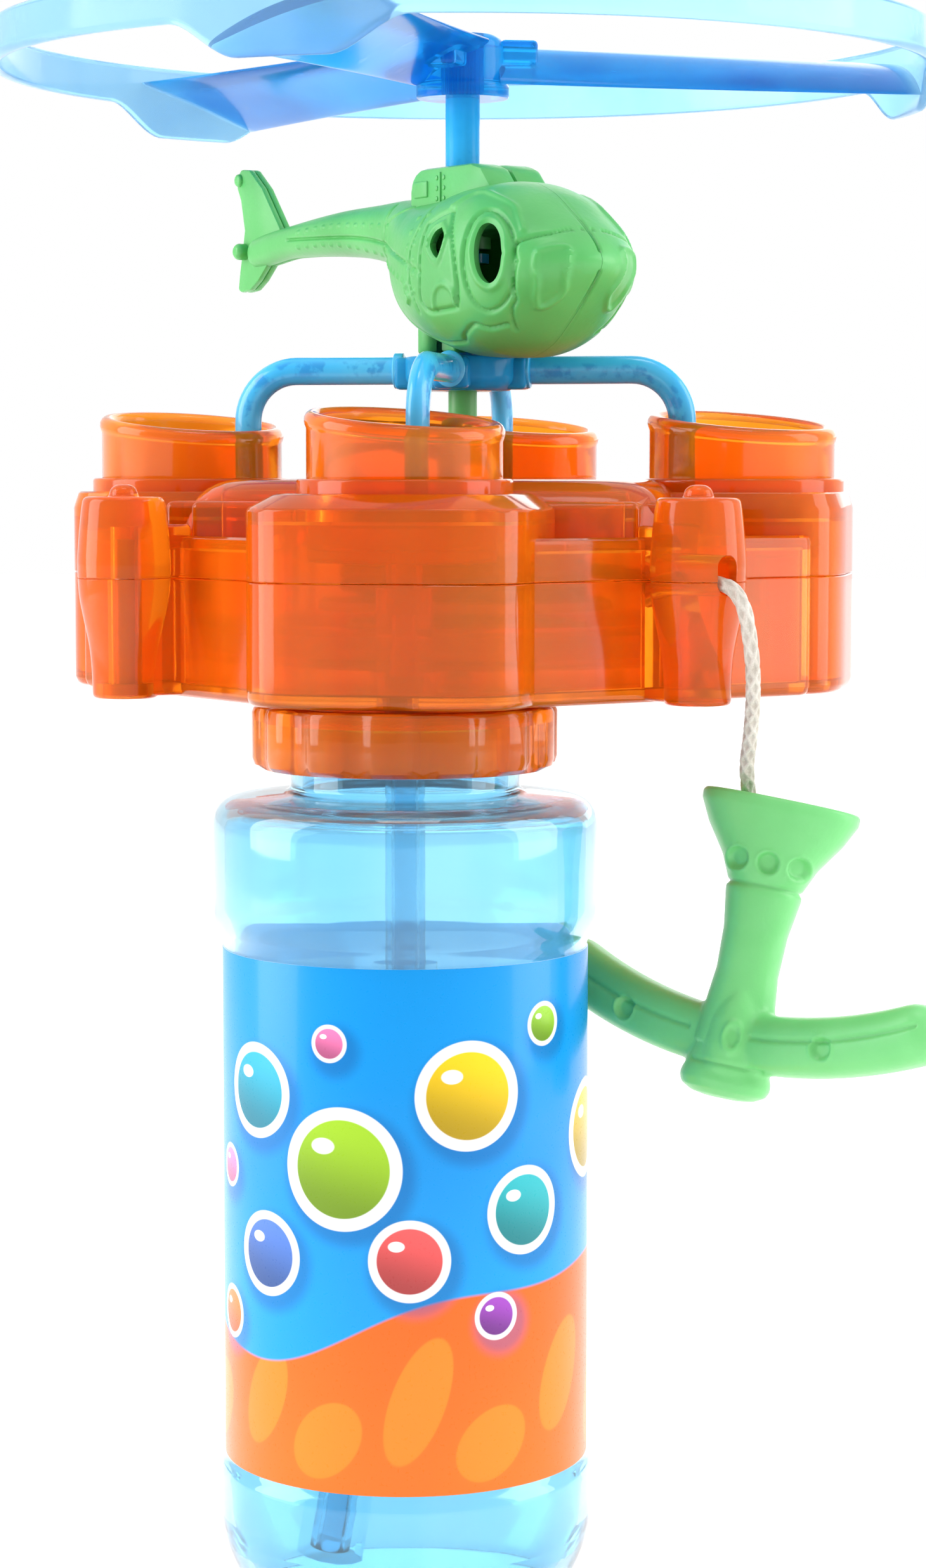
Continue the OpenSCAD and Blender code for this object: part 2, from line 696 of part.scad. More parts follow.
module heli_shape() {
  difference() {
    union() {
      fuselage(0);
      tail_fin();
      translate([-5.4, -4.6, 170]) cube([14.6, 9.2, 5.3]);
      translate([-4.6, -3.8, 175.3]) cube([13, 7.6, 0.9]);
      translate([-5.2, -3.6, 152.8]) cube([8.6, 7.2, 6]);
    }
    fuselage(1.5);
    translate([0, 0, 150]) cylinder(h = 40, r = 3.65);
    for (y = [-20, 0])
      translate([20.8, y, 164.2]) rotate([-90, 0, 0]) scale([0.56, 1, 1]) cylinder(h = 20, r = 3.95, $fn = 40);
    for (y = [-20, 0])
      translate([11.6, y, 166.2]) rotate([-90, 0, 0]) cylinder(h = 20, r = 2, $fn = 3);
  }
}

module heli_place() {
  at_spindle() rotate([0, 0, heading]) children();
}

module heli_left_half() {
  color(leaf)
  heli_place()
    intersection() {
      heli_shape();
      translate([-80, 0.01, 140]) cube([160, 40, 60]);
    }
}

module heli_right_half() {
  color(leaf)
  heli_place()
    intersection() {
      heli_shape();
      translate([-80, -40.01, 140]) cube([160, 40, 60]);
    }
}

module mast_sleeve() {
  color(leaf)
  at_spindle() tube(3.6, shaft_r + 0.05, 166, 176);
}

module rotor_shaft() {
  color(sky)
  at_spindle()
    difference() {
      translate([0, 0, shaft_low]) cylinder(h = 192 - shaft_low, r = shaft_r);
      translate([-0.8, -1.8, shaft_low - 1]) cube([1.6, 3.6, 3.6]);
    }
}

module shaft_clip() {
  color(sky)
  at_spindle() tube(3.4, shaft_r, 164.2, 165.4);
}

// One pitched blade along +X: the +Y side is high, the -Y side hangs below the hoop
module blade() {
  stations = 10;
  loft([for (i = [0 : stations - 1])
    let (t = i / (stations - 1),
      w = seg(blade_root, blade_tip, t * t * 0.65 + t * 0.35) / 2,
      high = seg(191.8, 191.2, t),
      low = seg(186.6, 185.7, t),
      thick = seg(1, 0.7, t))
    [for (k = [0 : 15])
      let (side = k < 8 ? k / 7 : (15 - k) / 7,
        over = k < 8 ? 1 : -1,
        edge = sqrt(max(0.06, 1 - pow(2 * side - 1, 2))),
        bow = 0.9 * sin(180 * side))
      [seg(4, sqrt(pow(hoop_r - 0.75, 2) - pow(seg(w, -w, side), 2)), t), seg(w, -w, side),
        seg(high, low, side) + bow + over * thick * edge]]], strips = true);
}

// Rounded tab that hangs from the hoop where a blade meets it
module hoop_tab() {
  intersection() {
    tube(hoop_r - 0.1, hoop_r - 1.4, hoop_low - 6, hoop_low + 2);
    translate([0, 0, hoop_low + 2.5])
      rotate([0, 90, 0])
        scale([tab_deep, tab_half, 1]) cylinder(h = hoop_r + 5, r = 1, $fn = 48);
  }
}

module rotor() {
  color(sky)
  at_spindle()
    difference() {
      union() {
        rotate_extrude($fn = 128)
          polygon([[hoop_r - 1.5, hoop_low + 0.3], [hoop_r - 0.7, hoop_low], [hoop_r, hoop_low + 0.6],
            [hoop_r, hoop_low + hoop_tall - 0.6], [hoop_r - 0.7, hoop_low + hoop_tall],
            [hoop_r - 1.5, hoop_low + hoop_tall - 0.3]]);
        translate([0, 0, rotor_hub_low]) cylinder(h = rotor_hub_high - rotor_hub_low, r = rotor_hub_r);
        for (k = [0 : 2])
          rotate([0, 0, blade_turn + 120 * k]) {
            blade();
            hoop_tab();
          }
      }
      translate([0, 0, 180]) cylinder(h = 12, r = shaft_r);
    }
}

bottle();
bottle_label();
bubble_solution();
screw_collar();
neck_seal();
dip_tube();
lower_shell();
upper_shell();
cup_front();
cup_right();
cup_back();
cup_left();
feed_manifold();
drum_screws();
recoil_spring();
cord_reel();
drive_spindle();
cord_winding();
cord_run();
pull_cord();
pull_handle();
cord_knot();
arm_hub();
wand_front();
wand_right();
wand_back();
wand_left();
heli_left_half();
heli_right_half();
mast_sleeve();
rotor_shaft();
shaft_clip();
rotor();
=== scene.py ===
import math

import bpy
import numpy as np
from mathutils import Matrix, Vector
from mathutils.kdtree import KDTree


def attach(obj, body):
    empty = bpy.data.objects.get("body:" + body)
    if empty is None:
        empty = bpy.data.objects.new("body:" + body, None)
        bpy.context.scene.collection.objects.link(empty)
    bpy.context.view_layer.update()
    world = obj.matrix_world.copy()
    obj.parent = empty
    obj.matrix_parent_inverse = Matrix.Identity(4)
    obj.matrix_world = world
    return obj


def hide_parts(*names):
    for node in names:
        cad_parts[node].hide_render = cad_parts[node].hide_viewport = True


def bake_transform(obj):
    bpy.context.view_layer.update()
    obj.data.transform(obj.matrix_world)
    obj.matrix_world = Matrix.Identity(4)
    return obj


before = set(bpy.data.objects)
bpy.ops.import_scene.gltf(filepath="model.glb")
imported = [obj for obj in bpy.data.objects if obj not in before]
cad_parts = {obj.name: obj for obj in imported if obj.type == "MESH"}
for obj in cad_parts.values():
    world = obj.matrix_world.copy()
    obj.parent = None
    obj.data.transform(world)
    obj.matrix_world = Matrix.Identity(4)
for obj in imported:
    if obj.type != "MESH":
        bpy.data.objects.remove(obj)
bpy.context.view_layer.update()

# Shapes are drawn in millimetres and degrees; lights, whole places and frame calls are in metres.
MM = 0.001
SPINDLE = (0.0, 36.0)
CUPS = {"front": (0, 0), "right": (36, 36), "back": (0, 72), "left": (-36, 36)}


# Shader sums

class Value:
    """A number that changes over the surface; sums on it become nodes."""

    def __init__(self, finish, socket):
        self.finish = finish
        self.socket = socket

    def __add__(self, other):
        return self.finish.sum("ADD", self, other)

    __radd__ = __add__

    def __sub__(self, other):
        return self.finish.sum("SUBTRACT", self, other)

    def __rsub__(self, other):
        return self.finish.sum("SUBTRACT", other, self)

    def __mul__(self, other):
        return self.finish.sum("MULTIPLY", self, other)

    __rmul__ = __mul__

    def __truediv__(self, other):
        return self.finish.sum("DIVIDE", self, other)

    def __neg__(self):
        return self * -1

    def __abs__(self):
        return self.finish.sum("ABSOLUTE", self)

    def __pow__(self, other):
        return self.finish.sum("POWER", self, other)


class Finish:
    """A material: fixed numbers go on the shader's own sockets, patterns are fed in."""

    def __init__(self, name, fixed):
        self.material = bpy.data.materials.new(name)
        self.material.use_nodes = True
        tree = self.material.node_tree
        self.nodes = tree.nodes
        self.links = tree.links
        self.shader = self.nodes["Principled BSDF"]
        for socket, value in fixed.items():
            self.shader.inputs[socket].default_value = value

    def node(self, kind, settings=None, values=None):
        node = self.nodes.new(kind)
        for key, value in (settings or {}).items():
            if key == "stops":
                self.colour_stops(node.color_ramp, value)
            else:
                setattr(node, key, value)
        for key, value in (values or {}).items():
            self.feed(node.inputs[key], value)
        return node

    def colour_stops(self, ramp, stops):
        while len(ramp.elements) < len(stops):
            ramp.elements.new(0.5)
        for element, (place, colour) in zip(ramp.elements, stops):
            element.position = place
            element.color = (*colour, 1)

    def feed(self, socket, value):
        if isinstance(value, Value):
            self.links.new(value.socket, socket)
        else:
            socket.default_value = value

    def sum(self, operation, *terms):
        node = self.node("ShaderNodeMath", {"operation": operation}, dict(enumerate(terms)))
        return Value(self, node.outputs[0])

    def place(self):
        """Object coordinates in millimetres."""
        node = self.node("ShaderNodeTexCoord")
        split = self.node("ShaderNodeSeparateXYZ", None, {0: Value(self, node.outputs["Object"])})
        return [Value(self, split.outputs[k]) * 1000 for k in range(3)]

    def along(self):
        """The piece's own UV map."""
        node = self.node("ShaderNodeTexCoord")
        split = self.node("ShaderNodeSeparateXYZ", None, {0: Value(self, node.outputs["UV"])})
        return [Value(self, split.outputs[k]) for k in range(2)]

    def spots(self, scale, detail=3.0, stretch=(1, 1, 1), turn=0.0):
        """Soft noise from 0 to 1 on object coordinates; scale counts blotches in a metre."""
        node = self.node("ShaderNodeTexCoord")
        mapping = self.node("ShaderNodeMapping", None, {"Vector": Value(self, node.outputs["Object"]),
                            "Scale": stretch, "Rotation": (0, 0, math.radians(turn))})
        noise = self.node("ShaderNodeTexNoise", None, {"Vector": Value(self, mapping.outputs[0]),
                          "Scale": scale, "Detail": detail})
        return Value(self, noise.outputs[0])

    def smooth(self, value, low, high):
        node = self.node("ShaderNodeMapRange", {"interpolation_type": "SMOOTHSTEP"},
                         {"Value": value, "From Min": low, "From Max": high})
        return Value(self, node.outputs[0])

    def ramp(self, value, stops):
        node = self.node("ShaderNodeValToRGB", {"stops": stops}, {0: value})
        return Value(self, node.outputs[0])

    def mix(self, factor, first, second):
        node = self.node("ShaderNodeMix", {"data_type": "RGBA"})
        self.feed(node.inputs[0], factor)
        for index, colour in ((6, first), (7, second)):
            self.feed(node.inputs[index], colour if isinstance(colour, Value) else (*colour, 1))
        return Value(self, node.outputs[2])

    def wear(self, colour=None, roughness=None, coat=None):
        for socket, value in (("Base Color", colour), ("Roughness", roughness), ("Coat Weight", coat)):
            if value is not None:
                self.feed(self.shader.inputs[socket], value)

    def relief(self, height, distance, strength=1.0):
        node = self.node("ShaderNodeBump", None,
                         {"Height": height, "Distance": distance, "Strength": strength})
        self.feed(self.shader.inputs["Normal"], Value(self, node.outputs[0]))


def orange_plastic(name, clear, deep, thin):
    """Clear orange moulding: redder blotches where the wall is thick, faint flow marks in the gloss."""
    finish = Finish(name, {"Transmission Weight": clear, "IOR": 1.35, "Specular IOR Level": 0.2,
                           "Coat Roughness": 0.03, "Coat IOR": 1.45})
    flow = finish.spots(48, 3, (1, 1, 0.4))
    streak = finish.spots(160, 3, (1, 1, 0.12))
    body = finish.ramp(flow * 0.75 + streak * 0.25, ((0.34, deep), (0.66, thin)))
    finish.wear(body, 0.06 + 0.08 * flow, 0.12 + 0.14 * streak)
    finish.relief(finish.spots(120, 2), 0.0003, 0.1)
    return finish.material


def blue_plastic(name, clear, deep, thin, pale=None):
    """Clear sky blue moulding with streaks of flow and small bubbles; pale is the thin wall of the hoop."""
    finish = Finish(name,
                    {"Transmission Weight": clear, "IOR": 1.25, "Specular IOR Level": 0.25,
                     "Coat Roughness": 0.04, "Coat IOR": 1.3})
    flow = finish.spots(70, 4)
    body = finish.ramp(flow, ((0.32, deep), (0.68, thin)))
    bubbles = finish.smooth(finish.spots(420, 2), 0.62, 0.72)
    body = finish.mix(bubbles * 0.3, body, deep)
    if pale:
        x, y, _ = finish.place()
        away = finish.sum("SQRT", (x - SPINDLE[0]) ** 2 + (y - SPINDLE[1]) ** 2)
        body = finish.mix(finish.smooth(away + 2 * flow, 57.5, 60), body, pale)
    finish.wear(body, 0.07 + 0.14 * flow, 0.1 + 0.15 * bubbles)
    finish.relief(flow + 0.15 * bubbles, 0.0003, 0.15)
    return finish.material


def bottle_plastic():
    """Blown bottle: clear tint, faint vertical flow lines and ripples from the mould."""
    finish = Finish("bottle_blue", {"Transmission Weight": 0.94, "IOR": 1.3, "Coat Roughness": 0.02})
    flow = finish.spots(60, 3, (1, 1, 0.15))
    ripple = finish.spots(160, 2, (1, 1, 0.5))
    finish.wear(finish.ramp(flow, ((0.3, (0.36, 0.74, 0.95)), (0.7, (0.5, 0.82, 0.97)))),
                0.02 + 0.06 * ripple, 0.5 + 0.2 * flow)
    finish.relief(ripple + 0.4 * flow, 0.0004, 0.12)
    return finish.material


def green_plastic(name, deep, thin, grain):
    """Solid green moulding with a satin skin, fine spark texture and scuffs that are a little lighter."""
    finish = Finish(name,
                    {"IOR": 1.5, "Specular IOR Level": 0.4, "Coat Roughness": 0.25,
                     "Subsurface Weight": 0.12, "Subsurface Scale": 0.002,
                     "Subsurface Radius": (0.3, 1.0, 0.3)})
    tone = finish.spots(90, 4)
    spark = finish.spots(grain, 2)
    scuff = finish.smooth(finish.spots(700, 3, (1, 1, 0.25), 30), 0.63, 0.74)
    body = finish.ramp(tone, ((0.25, deep), (0.75, thin)))
    finish.wear(finish.mix(scuff * 0.25, body, thin), 0.34 + 0.12 * spark + 0.08 * scuff, 0.12 + 0.1 * tone)
    finish.relief(spark + 0.3 * scuff, 0.00012, 0.25)
    return finish.material


def cord_braid():
    """Cotton braid: two crossing helices of yarn, each with its own fibres and a patchy tone, with painted
    shade in the grooves between the strands.
    """
    finish = Finish("cord_braid", {"Sheen Weight": 0.3, "Sheen Roughness": 0.5, "Specular IOR Level": 0.2})
    around, run = finish.along()
    fibre = finish.spots(5200, 3)
    tone = finish.spots(420, 3)
    left = finish.sum("SINE", (around * 4 + run * 1) * (2 * math.pi))
    right = finish.sum("SINE", (around * 4 - run * 1) * (2 * math.pi))
    yarn = finish.sum("MAXIMUM", left, right)
    body = finish.ramp(tone * 0.6 + fibre * 0.4,
                       ((0.3, (0.5, 0.45, 0.38)), (0.55, (0.68, 0.63, 0.56)), (0.8, (0.82, 0.79, 0.73))))
    # Painted shade: the grooves between the strands are darkened towards brown.
    finish.wear(finish.mix(finish.smooth(yarn, 0.7, -0.2) * 0.34, body, (0.34, 0.29, 0.23)),
                0.8 + 0.15 * fibre)
    finish.relief(fibre + 0.5 * yarn, 0.00012, 0.6)
    return finish.material


def clear_tube():
    finish = Finish("clear_tube", {"Transmission Weight": 0.9, "IOR": 1.3})
    flow = finish.spots(120, 3, (1, 1, 0.1))
    finish.wear(finish.ramp(flow, ((0.3, (0.5, 0.8, 0.95)), (0.7, (0.72, 0.9, 0.98)))), 0.06 + 0.1 * flow)
    finish.relief(flow, 0.0003, 0.15)
    return finish.material


def clear_liquid():
    finish = Finish("bubble_liquid", {"Transmission Weight": 1.0, "IOR": 1.06, "Specular IOR Level": 0.2})
    swirl = finish.spots(40, 2)
    finish.wear(finish.ramp(swirl, ((0.3, (0.8, 0.93, 0.99)), (0.7, (0.9, 0.97, 1.0)))),
                0.01 + 0.02 * swirl)
    return finish.material


def white_plastic():
    finish = Finish("white_plastic", {"IOR": 1.5})
    tone = finish.spots(160, 4)
    grain = finish.spots(2400, 2)
    finish.wear(finish.ramp(tone, ((0.3, (0.7, 0.68, 0.62)), (0.7, (0.86, 0.85, 0.81)))),
                0.35 + 0.15 * grain)
    finish.relief(grain, 0.0001, 0.2)
    return finish.material


def zinc_steel():
    finish = Finish("zinc_steel", {"Metallic": 1.0, "Anisotropic": 0.3})
    brush = finish.spots(500, 4, (1, 8, 1))
    stain = finish.spots(120, 3)
    finish.wear(finish.ramp(stain, ((0.3, (0.42, 0.42, 0.44)), (0.7, (0.66, 0.67, 0.7)))),
                0.25 + 0.2 * brush)
    finish.relief(brush, 0.0001, 0.2)
    return finish.material


# Workshop: ways to make a piece

def take(name):
    """Names the piece that was just added."""
    piece = bpy.context.active_object
    piece.name = name
    piece.data.name = name
    return piece


def alone(piece):
    """Selects this piece and nothing else."""
    bpy.ops.object.select_all(action="DESELECT")
    piece.select_set(True)
    bpy.context.view_layer.objects.active = piece


def edit(piece):
    """Goes into edit mode with the whole mesh selected."""
    alone(piece)
    bpy.ops.object.mode_set(mode="EDIT")
    bpy.ops.mesh.select_all(action="SELECT")


def done(piece, angle=35):
    """Closes seams, turns the faces outwards, puts the place into the mesh and smooths."""
    edit(piece)
    bpy.ops.mesh.remove_doubles(threshold=0.00002)
    bpy.ops.mesh.normals_make_consistent(inside=False)
    bpy.ops.object.mode_set(mode="OBJECT")
    bpy.ops.object.transform_apply(location=True, rotation=True, scale=True)
    bpy.ops.object.shade_smooth_by_angle(angle=math.radians(angle))
    return piece


def rounded(points, steps=5):
    """Corner points (radius, height, rounding) become a line with round corners."""
    line = []
    for k, (r, z, fillet) in enumerate(points):
        here = Vector((r, z))
        if fillet == 0 or k in (0, len(points) - 1):
            line.append((r, z))
            continue
        back = (Vector(points[k - 1][:2]) - here)
        ahead = (Vector(points[k + 1][:2]) - here)
        reach = min(fillet, back.length * 0.48, ahead.length * 0.48)
        first = here + back.normalized() * reach
        last = here + ahead.normalized() * reach
        for i in range(steps + 1):
            t = i / steps
            spot = first * (1 - t) ** 2 + here * 2 * t * (1 - t) + last * t * t
            line.append((spot.x, spot.y))
    return line


def turned(name, line, at=(0, 0), steps=96):
    """A round piece, extruded ring by ring along a line of (radius, height) in millimetres."""
    bpy.ops.object.select_all(action="DESELECT")
    centre = (at[0] * MM, at[1] * MM)
    radius, height = max(line[0][0], 0.008), line[0][1]
    bpy.ops.mesh.primitive_circle_add(vertices=steps, radius=radius * MM, location=(*centre, height * MM))
    piece = take(name)
    edit(piece)
    for r, z in line[1:]:
        r = max(r, 0.008)
        bpy.ops.mesh.extrude_region_move(TRANSFORM_OT_translate={"value": (0, 0, (z - height) * MM)})
        bpy.ops.transform.resize(value=(r / radius, r / radius, 1), center_override=(*centre, z * MM))
        radius, height = r, z
    bpy.ops.object.mode_set(mode="OBJECT")
    return done(piece)


def rod(name, radius, low, high, at=(0, 0), steps=48):
    """A plain round rod between two heights, mostly used to cut a hole."""
    return turned(name, [(0, low), (radius, low), (radius, high), (0, high)], at, steps)


def skin(name, rows, wrap=True, loop=False, caps=True, angle=35):
    """A grid whose vertices are pulled onto rows of points (metres), then sewn up."""
    rows = np.asarray(rows, float)
    if wrap:
        rows = np.concatenate([rows, rows[:, :1]], axis=1)
    if loop:
        rows = np.concatenate([rows, rows[:1]], axis=0)
    m, n = rows.shape[:2]
    bpy.ops.object.select_all(action="DESELECT")
    bpy.ops.mesh.primitive_grid_add(x_subdivisions=n - 1, y_subdivisions=m - 1, size=1)
    piece = take(name)
    piece.data.vertices.foreach_set("co", rows.astype(np.float32).ravel())
    edit(piece)
    bpy.ops.mesh.remove_doubles(threshold=0.000004)
    if caps and not loop:
        bpy.ops.mesh.fill_holes(sides=0)
    bpy.ops.object.mode_set(mode="OBJECT")
    return done(piece, angle)


def block(name, low, high, bevel=0.6, steps=3):
    """A box between two corners in millimetres with rounded edges."""
    bpy.ops.object.select_all(action="DESELECT")
    middle = [(a + b) / 2 * MM for a, b in zip(low, high)]
    bpy.ops.mesh.primitive_cube_add(size=1, location=middle,
                                    scale=[(b - a) * MM for a, b in zip(low, high)])
    piece = take(name)
    bpy.ops.object.transform_apply(location=True, rotation=True, scale=True)
    edit(piece)
    bpy.ops.mesh.bevel(offset=bevel * MM, segments=steps, affect="EDGES")
    bpy.ops.object.mode_set(mode="OBJECT")
    return done(piece, 40)


def plate(name, outline, low, high, bevel=0.3):
    """A flat piece: an outline of (x, z) in millimetres, given thickness along Y, with softened rims."""
    bpy.ops.object.select_all(action="DESELECT")
    bpy.ops.mesh.primitive_circle_add(vertices=len(outline), radius=0.01, fill_type="NGON")
    piece = take(name)
    for vertex, (x, z) in zip(piece.data.vertices, outline):
        vertex.co = (x * MM, low * MM, z * MM)
    edit(piece)
    bpy.ops.mesh.extrude_region_move(TRANSFORM_OT_translate={"value": (0, (high - low) * MM, 0)})
    bpy.ops.mesh.select_all(action="SELECT")
    bpy.ops.mesh.normals_make_consistent(inside=False)
    bpy.ops.mesh.bevel(offset=bevel * MM, segments=2, affect="EDGES")
    bpy.ops.object.mode_set(mode="OBJECT")
    return done(piece, 40)


def worked(piece, kind, **settings):
    """Adds one modifier with these settings and applies it."""
    alone(piece)
    modifier = piece.modifiers.new(kind, kind)
    for key, value in settings.items():
        setattr(modifier, key, value)
    bpy.ops.object.modifier_apply(modifier=modifier.name)
    return piece


def cut(base, tool, operation="DIFFERENCE"):
    """Takes the tool out of the base, or joins it on, and clears the tool away."""
    worked(base, "BOOLEAN", operation=operation, solver="EXACT", object=tool)
    bpy.data.objects.remove(tool)
    return base


def fuse(base, *others):
    for other in others:
        cut(base, other, "UNION")
    return base


def gather(base, *others):
    """Several solids that touch become one piece."""
    bpy.ops.object.select_all(action="DESELECT")
    for piece in (*others, base):
        piece.select_set(True)
    bpy.context.view_layer.objects.active = base
    bpy.ops.object.join()
    return base


def twin(piece, name):
    """A copy with a mesh of its own."""
    copy = piece.copy()
    copy.data = piece.data.copy()
    copy.name = name
    copy.data.name = name
    bpy.context.collection.objects.link(copy)
    return copy


def move(piece, matrix):
    """Moves the mesh, and keeps its faces outwards in a mirror."""
    piece.data.transform(matrix)
    if matrix.determinant() < 0:
        piece.data.flip_normals()
    return piece


def surface(piece):
    """The places (metres) and normals of all vertices."""
    count = len(piece.data.vertices)
    spots, ways = np.empty(count * 3, np.float32), np.empty(count * 3, np.float32)
    piece.data.vertices.foreach_get("co", spots)
    piece.data.vertices.foreach_get("normal", ways)
    return spots.reshape(-1, 3), ways.reshape(-1, 3)


def press(piece, spots, ways, push):
    """Moves each vertex along its normal by its own push in millimetres."""
    spots += ways * (push * MM)[:, None].astype(np.float32)
    piece.data.vertices.foreach_set("co", spots.ravel())
    piece.data.update()


def about_spindle(turn):
    """The place of something drawn round the origin, turned about the spindle."""
    there = Matrix.Translation((SPINDLE[0] * MM, SPINDLE[1] * MM, 0))
    return there @ Matrix.Rotation(math.radians(turn), 4, "Z")


def flat_shading(piece, angle=35):
    """Clears slivers from a fused piece and evens its shading: flat faces keep flat normals."""
    edit(piece)
    bpy.ops.mesh.dissolve_degenerate(threshold=0.000003)
    bpy.ops.mesh.delete_loose()
    bpy.ops.object.mode_set(mode="OBJECT")
    bpy.ops.object.shade_smooth_by_angle(angle=math.radians(angle))
    return worked(piece, "WEIGHTED_NORMAL", keep_sharp=True)


def through(points, step):
    """A smooth line through points (millimetres), in steps of about the given length."""
    knots = [Vector(p) for p in points]
    ends = [knots[0] * 2 - knots[1]] + knots + [knots[-1] * 2 - knots[-2]]
    line = []
    for a, b, c, d in zip(ends, ends[1:], ends[2:], ends[3:]):
        count = max(1, round((c - b).length / step))
        for i in range(count):
            t = i / count
            line.append(0.5 * (2 * b + (c - a) * t + (2 * a - 5 * b + 4 * c - d) * t * t
                               + (3 * b - a - 3 * c + d) * t ** 3))
    return line + [knots[-1]]


def along_path(line, section):
    """Rows of a section carried along a line without twisting; section(i) lists (side, up) offsets."""
    heading = (line[1] - line[0]).normalized()
    side = heading.cross(Vector((0.12, 0.97, 0.2))).normalized()
    rows = []
    for i, spot in enumerate(line):
        ahead = (line[min(i + 1, len(line) - 1)] - line[max(i - 1, 0)]).normalized()
        side = (side - ahead * side.dot(ahead)).normalized()
        up = ahead.cross(side)
        rows.append([(spot + side * a + up * b) * MM for a, b in section(i)])
    return rows


def oval_section(tall, wide, count=32):
    """The same oval at every place along a path."""
    ring = [2 * math.pi * k / count for k in range(count)]
    return lambda i: [(tall * math.cos(a), wide * math.sin(a)) for a in ring]


def finish_piece(piece, material, slot, body, *nodes):
    """Gives the piece its finish, its body and the nodes it stands for."""
    piece.data.materials.clear()
    piece.data.materials.append(material)
    if body:
        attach(piece, body)
    if nodes:
        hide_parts(*nodes)
    return piece


# Camera, light and floor

LIGHT_AIM = (0, 0.03, 0.12)
FRONT_GREY = 0.58

camera_data = bpy.data.cameras.new("view")
camera_data.lens = 79.95
camera_data.sensor_width = 36
camera_data.clip_start = 0.01
camera = bpy.data.objects.new("view", camera_data)
camera.location = (0.0859, -0.4057, 0.138)
camera.rotation_euler = (math.radians(90 - 5.16), 0, math.radians(11))
bpy.context.collection.objects.link(camera)
bpy.context.scene.camera = camera
bpy.context.scene.view_settings.view_transform = "Standard"


def softbox(name, spot, size, watts):
    """An oblong lamp aimed at the drum."""
    data = bpy.data.lights.new(name, "AREA")
    data.shape = "RECTANGLE"
    data.size, data.size_y = size
    data.energy = watts
    lamp = bpy.data.objects.new(name, data)
    lamp.location = spot
    lamp.rotation_euler = (Vector(LIGHT_AIM) - Vector(spot)).to_track_quat("-Z", "Y").to_euler()
    bpy.context.collection.objects.link(lamp)


softbox("key", (-0.6, -0.16, 0.34), (0.42, 0.62), 3.5)
softbox("fill", (0.62, 0.08, 0.34), (0.4, 0.62), 2.5)
softbox("top", (0.05, -0.15, 0.95), (0.35, 0.2), 0.9)
softbox("back", (0.1, 0.9, 0.4), (0.7, 0.5), 1.2)

world = bpy.data.worlds.new("studio")
world.use_nodes = True
sky = world.node_tree.nodes
sight = sky.new("ShaderNodeTexCoord")
split = sky.new("ShaderNodeSeparateXYZ")
spread = sky.new("ShaderNodeMapRange")
spread.inputs["From Min"].default_value = -1
shade = sky.new("ShaderNodeValToRGB")
shade.color_ramp.elements[0].color = (FRONT_GREY, FRONT_GREY, FRONT_GREY, 1)
shade.color_ramp.elements[1].position = 0.3
for start, end in ((sight.outputs["Generated"], split.inputs[0]),
                   (split.outputs[1], spread.inputs["Value"]), (spread.outputs[0], shade.inputs[0]),
                   (shade.outputs[0], sky["Background"].inputs["Color"])):
    world.node_tree.links.new(start, end)
bpy.context.scene.world = world

bpy.ops.object.select_all(action="DESELECT")
bpy.ops.mesh.primitive_plane_add(size=8, location=(0, 0, -0.0002))
floor = take("studio_floor")
bpy.ops.object.transform_apply(location=True, rotation=True, scale=True)
paper = Finish("studio_paper",
               {"Specular IOR Level": 0.1, "Emission Color": (1, 1, 1, 1), "Emission Strength": 0.3})
mottle = paper.spots(3, 2)
paper.wear(paper.ramp(mottle, ((0.3, (0.93, 0.93, 0.93)), (0.7, (0.96, 0.96, 0.96)))), 0.85 + 0.1 * mottle)
floor.data.materials.append(paper.material)


# Finishes

ORANGE = orange_plastic("orange_clear", 0.72, (0.96, 0.17, 0.003), (1.0, 0.29, 0.013))
ORANGE_CUP = orange_plastic("orange_cup", 0.72, (0.98, 0.24, 0.007), (1.0, 0.35, 0.024))
BLUE = blue_plastic("blue_clear", 0.75, (0.004, 0.25, 0.72), (0.02, 0.38, 0.85), (0.38, 0.71, 0.95))
BLUE_ARM = blue_plastic("blue_core", 0.3, (0.006, 0.32, 0.72), (0.04, 0.48, 0.9))
BOTTLE = bottle_plastic()
GREEN = green_plastic("green_body", (0.075, 0.4, 0.09), (0.11, 0.5, 0.13), 1500)
GREEN_LIGHT = green_plastic("green_light", (0.15, 0.57, 0.175), (0.2, 0.65, 0.22), 1300)
BRAID = cord_braid()
TUBE = clear_tube()
LIQUID = clear_liquid()
WHITE = white_plastic()
STEEL = zinc_steel()


# Cords

COIL_RADIUS = 15.05
FREE_CORD = [(36.4, -0.4, 124.8), (38.2, -2.2, 124.7), (39.8, -3.5, 123.9), (40.9, -4.2, 122.1),
             (41.5, -4.1, 119.4), (41.8, -2.4, 115.2), (41.5, 0.8, 110.6), (40.9, 3.9, 106.6),
             (40.25, 6.6, 103.2), (40.1, 8.9, 100.4), (40.3, 10.3, 97.9), (40.7, 10.5, 95.6),
             (41.4, 9.95, 92.9), (42, 9.4, 90.4), (42.2, 8.85, 88), (41.8, 8.4, 85.7), (41.25, 7.85, 82.6)]
HELD_CORD = [(15.6, 43.8, 124.8), (23.9, 24, 124.8), (30.5, 8, 124.8), (32.4, 4.2, 124.8), (34, 2, 124.8),
             (36.3, -0.3, 124.8)]


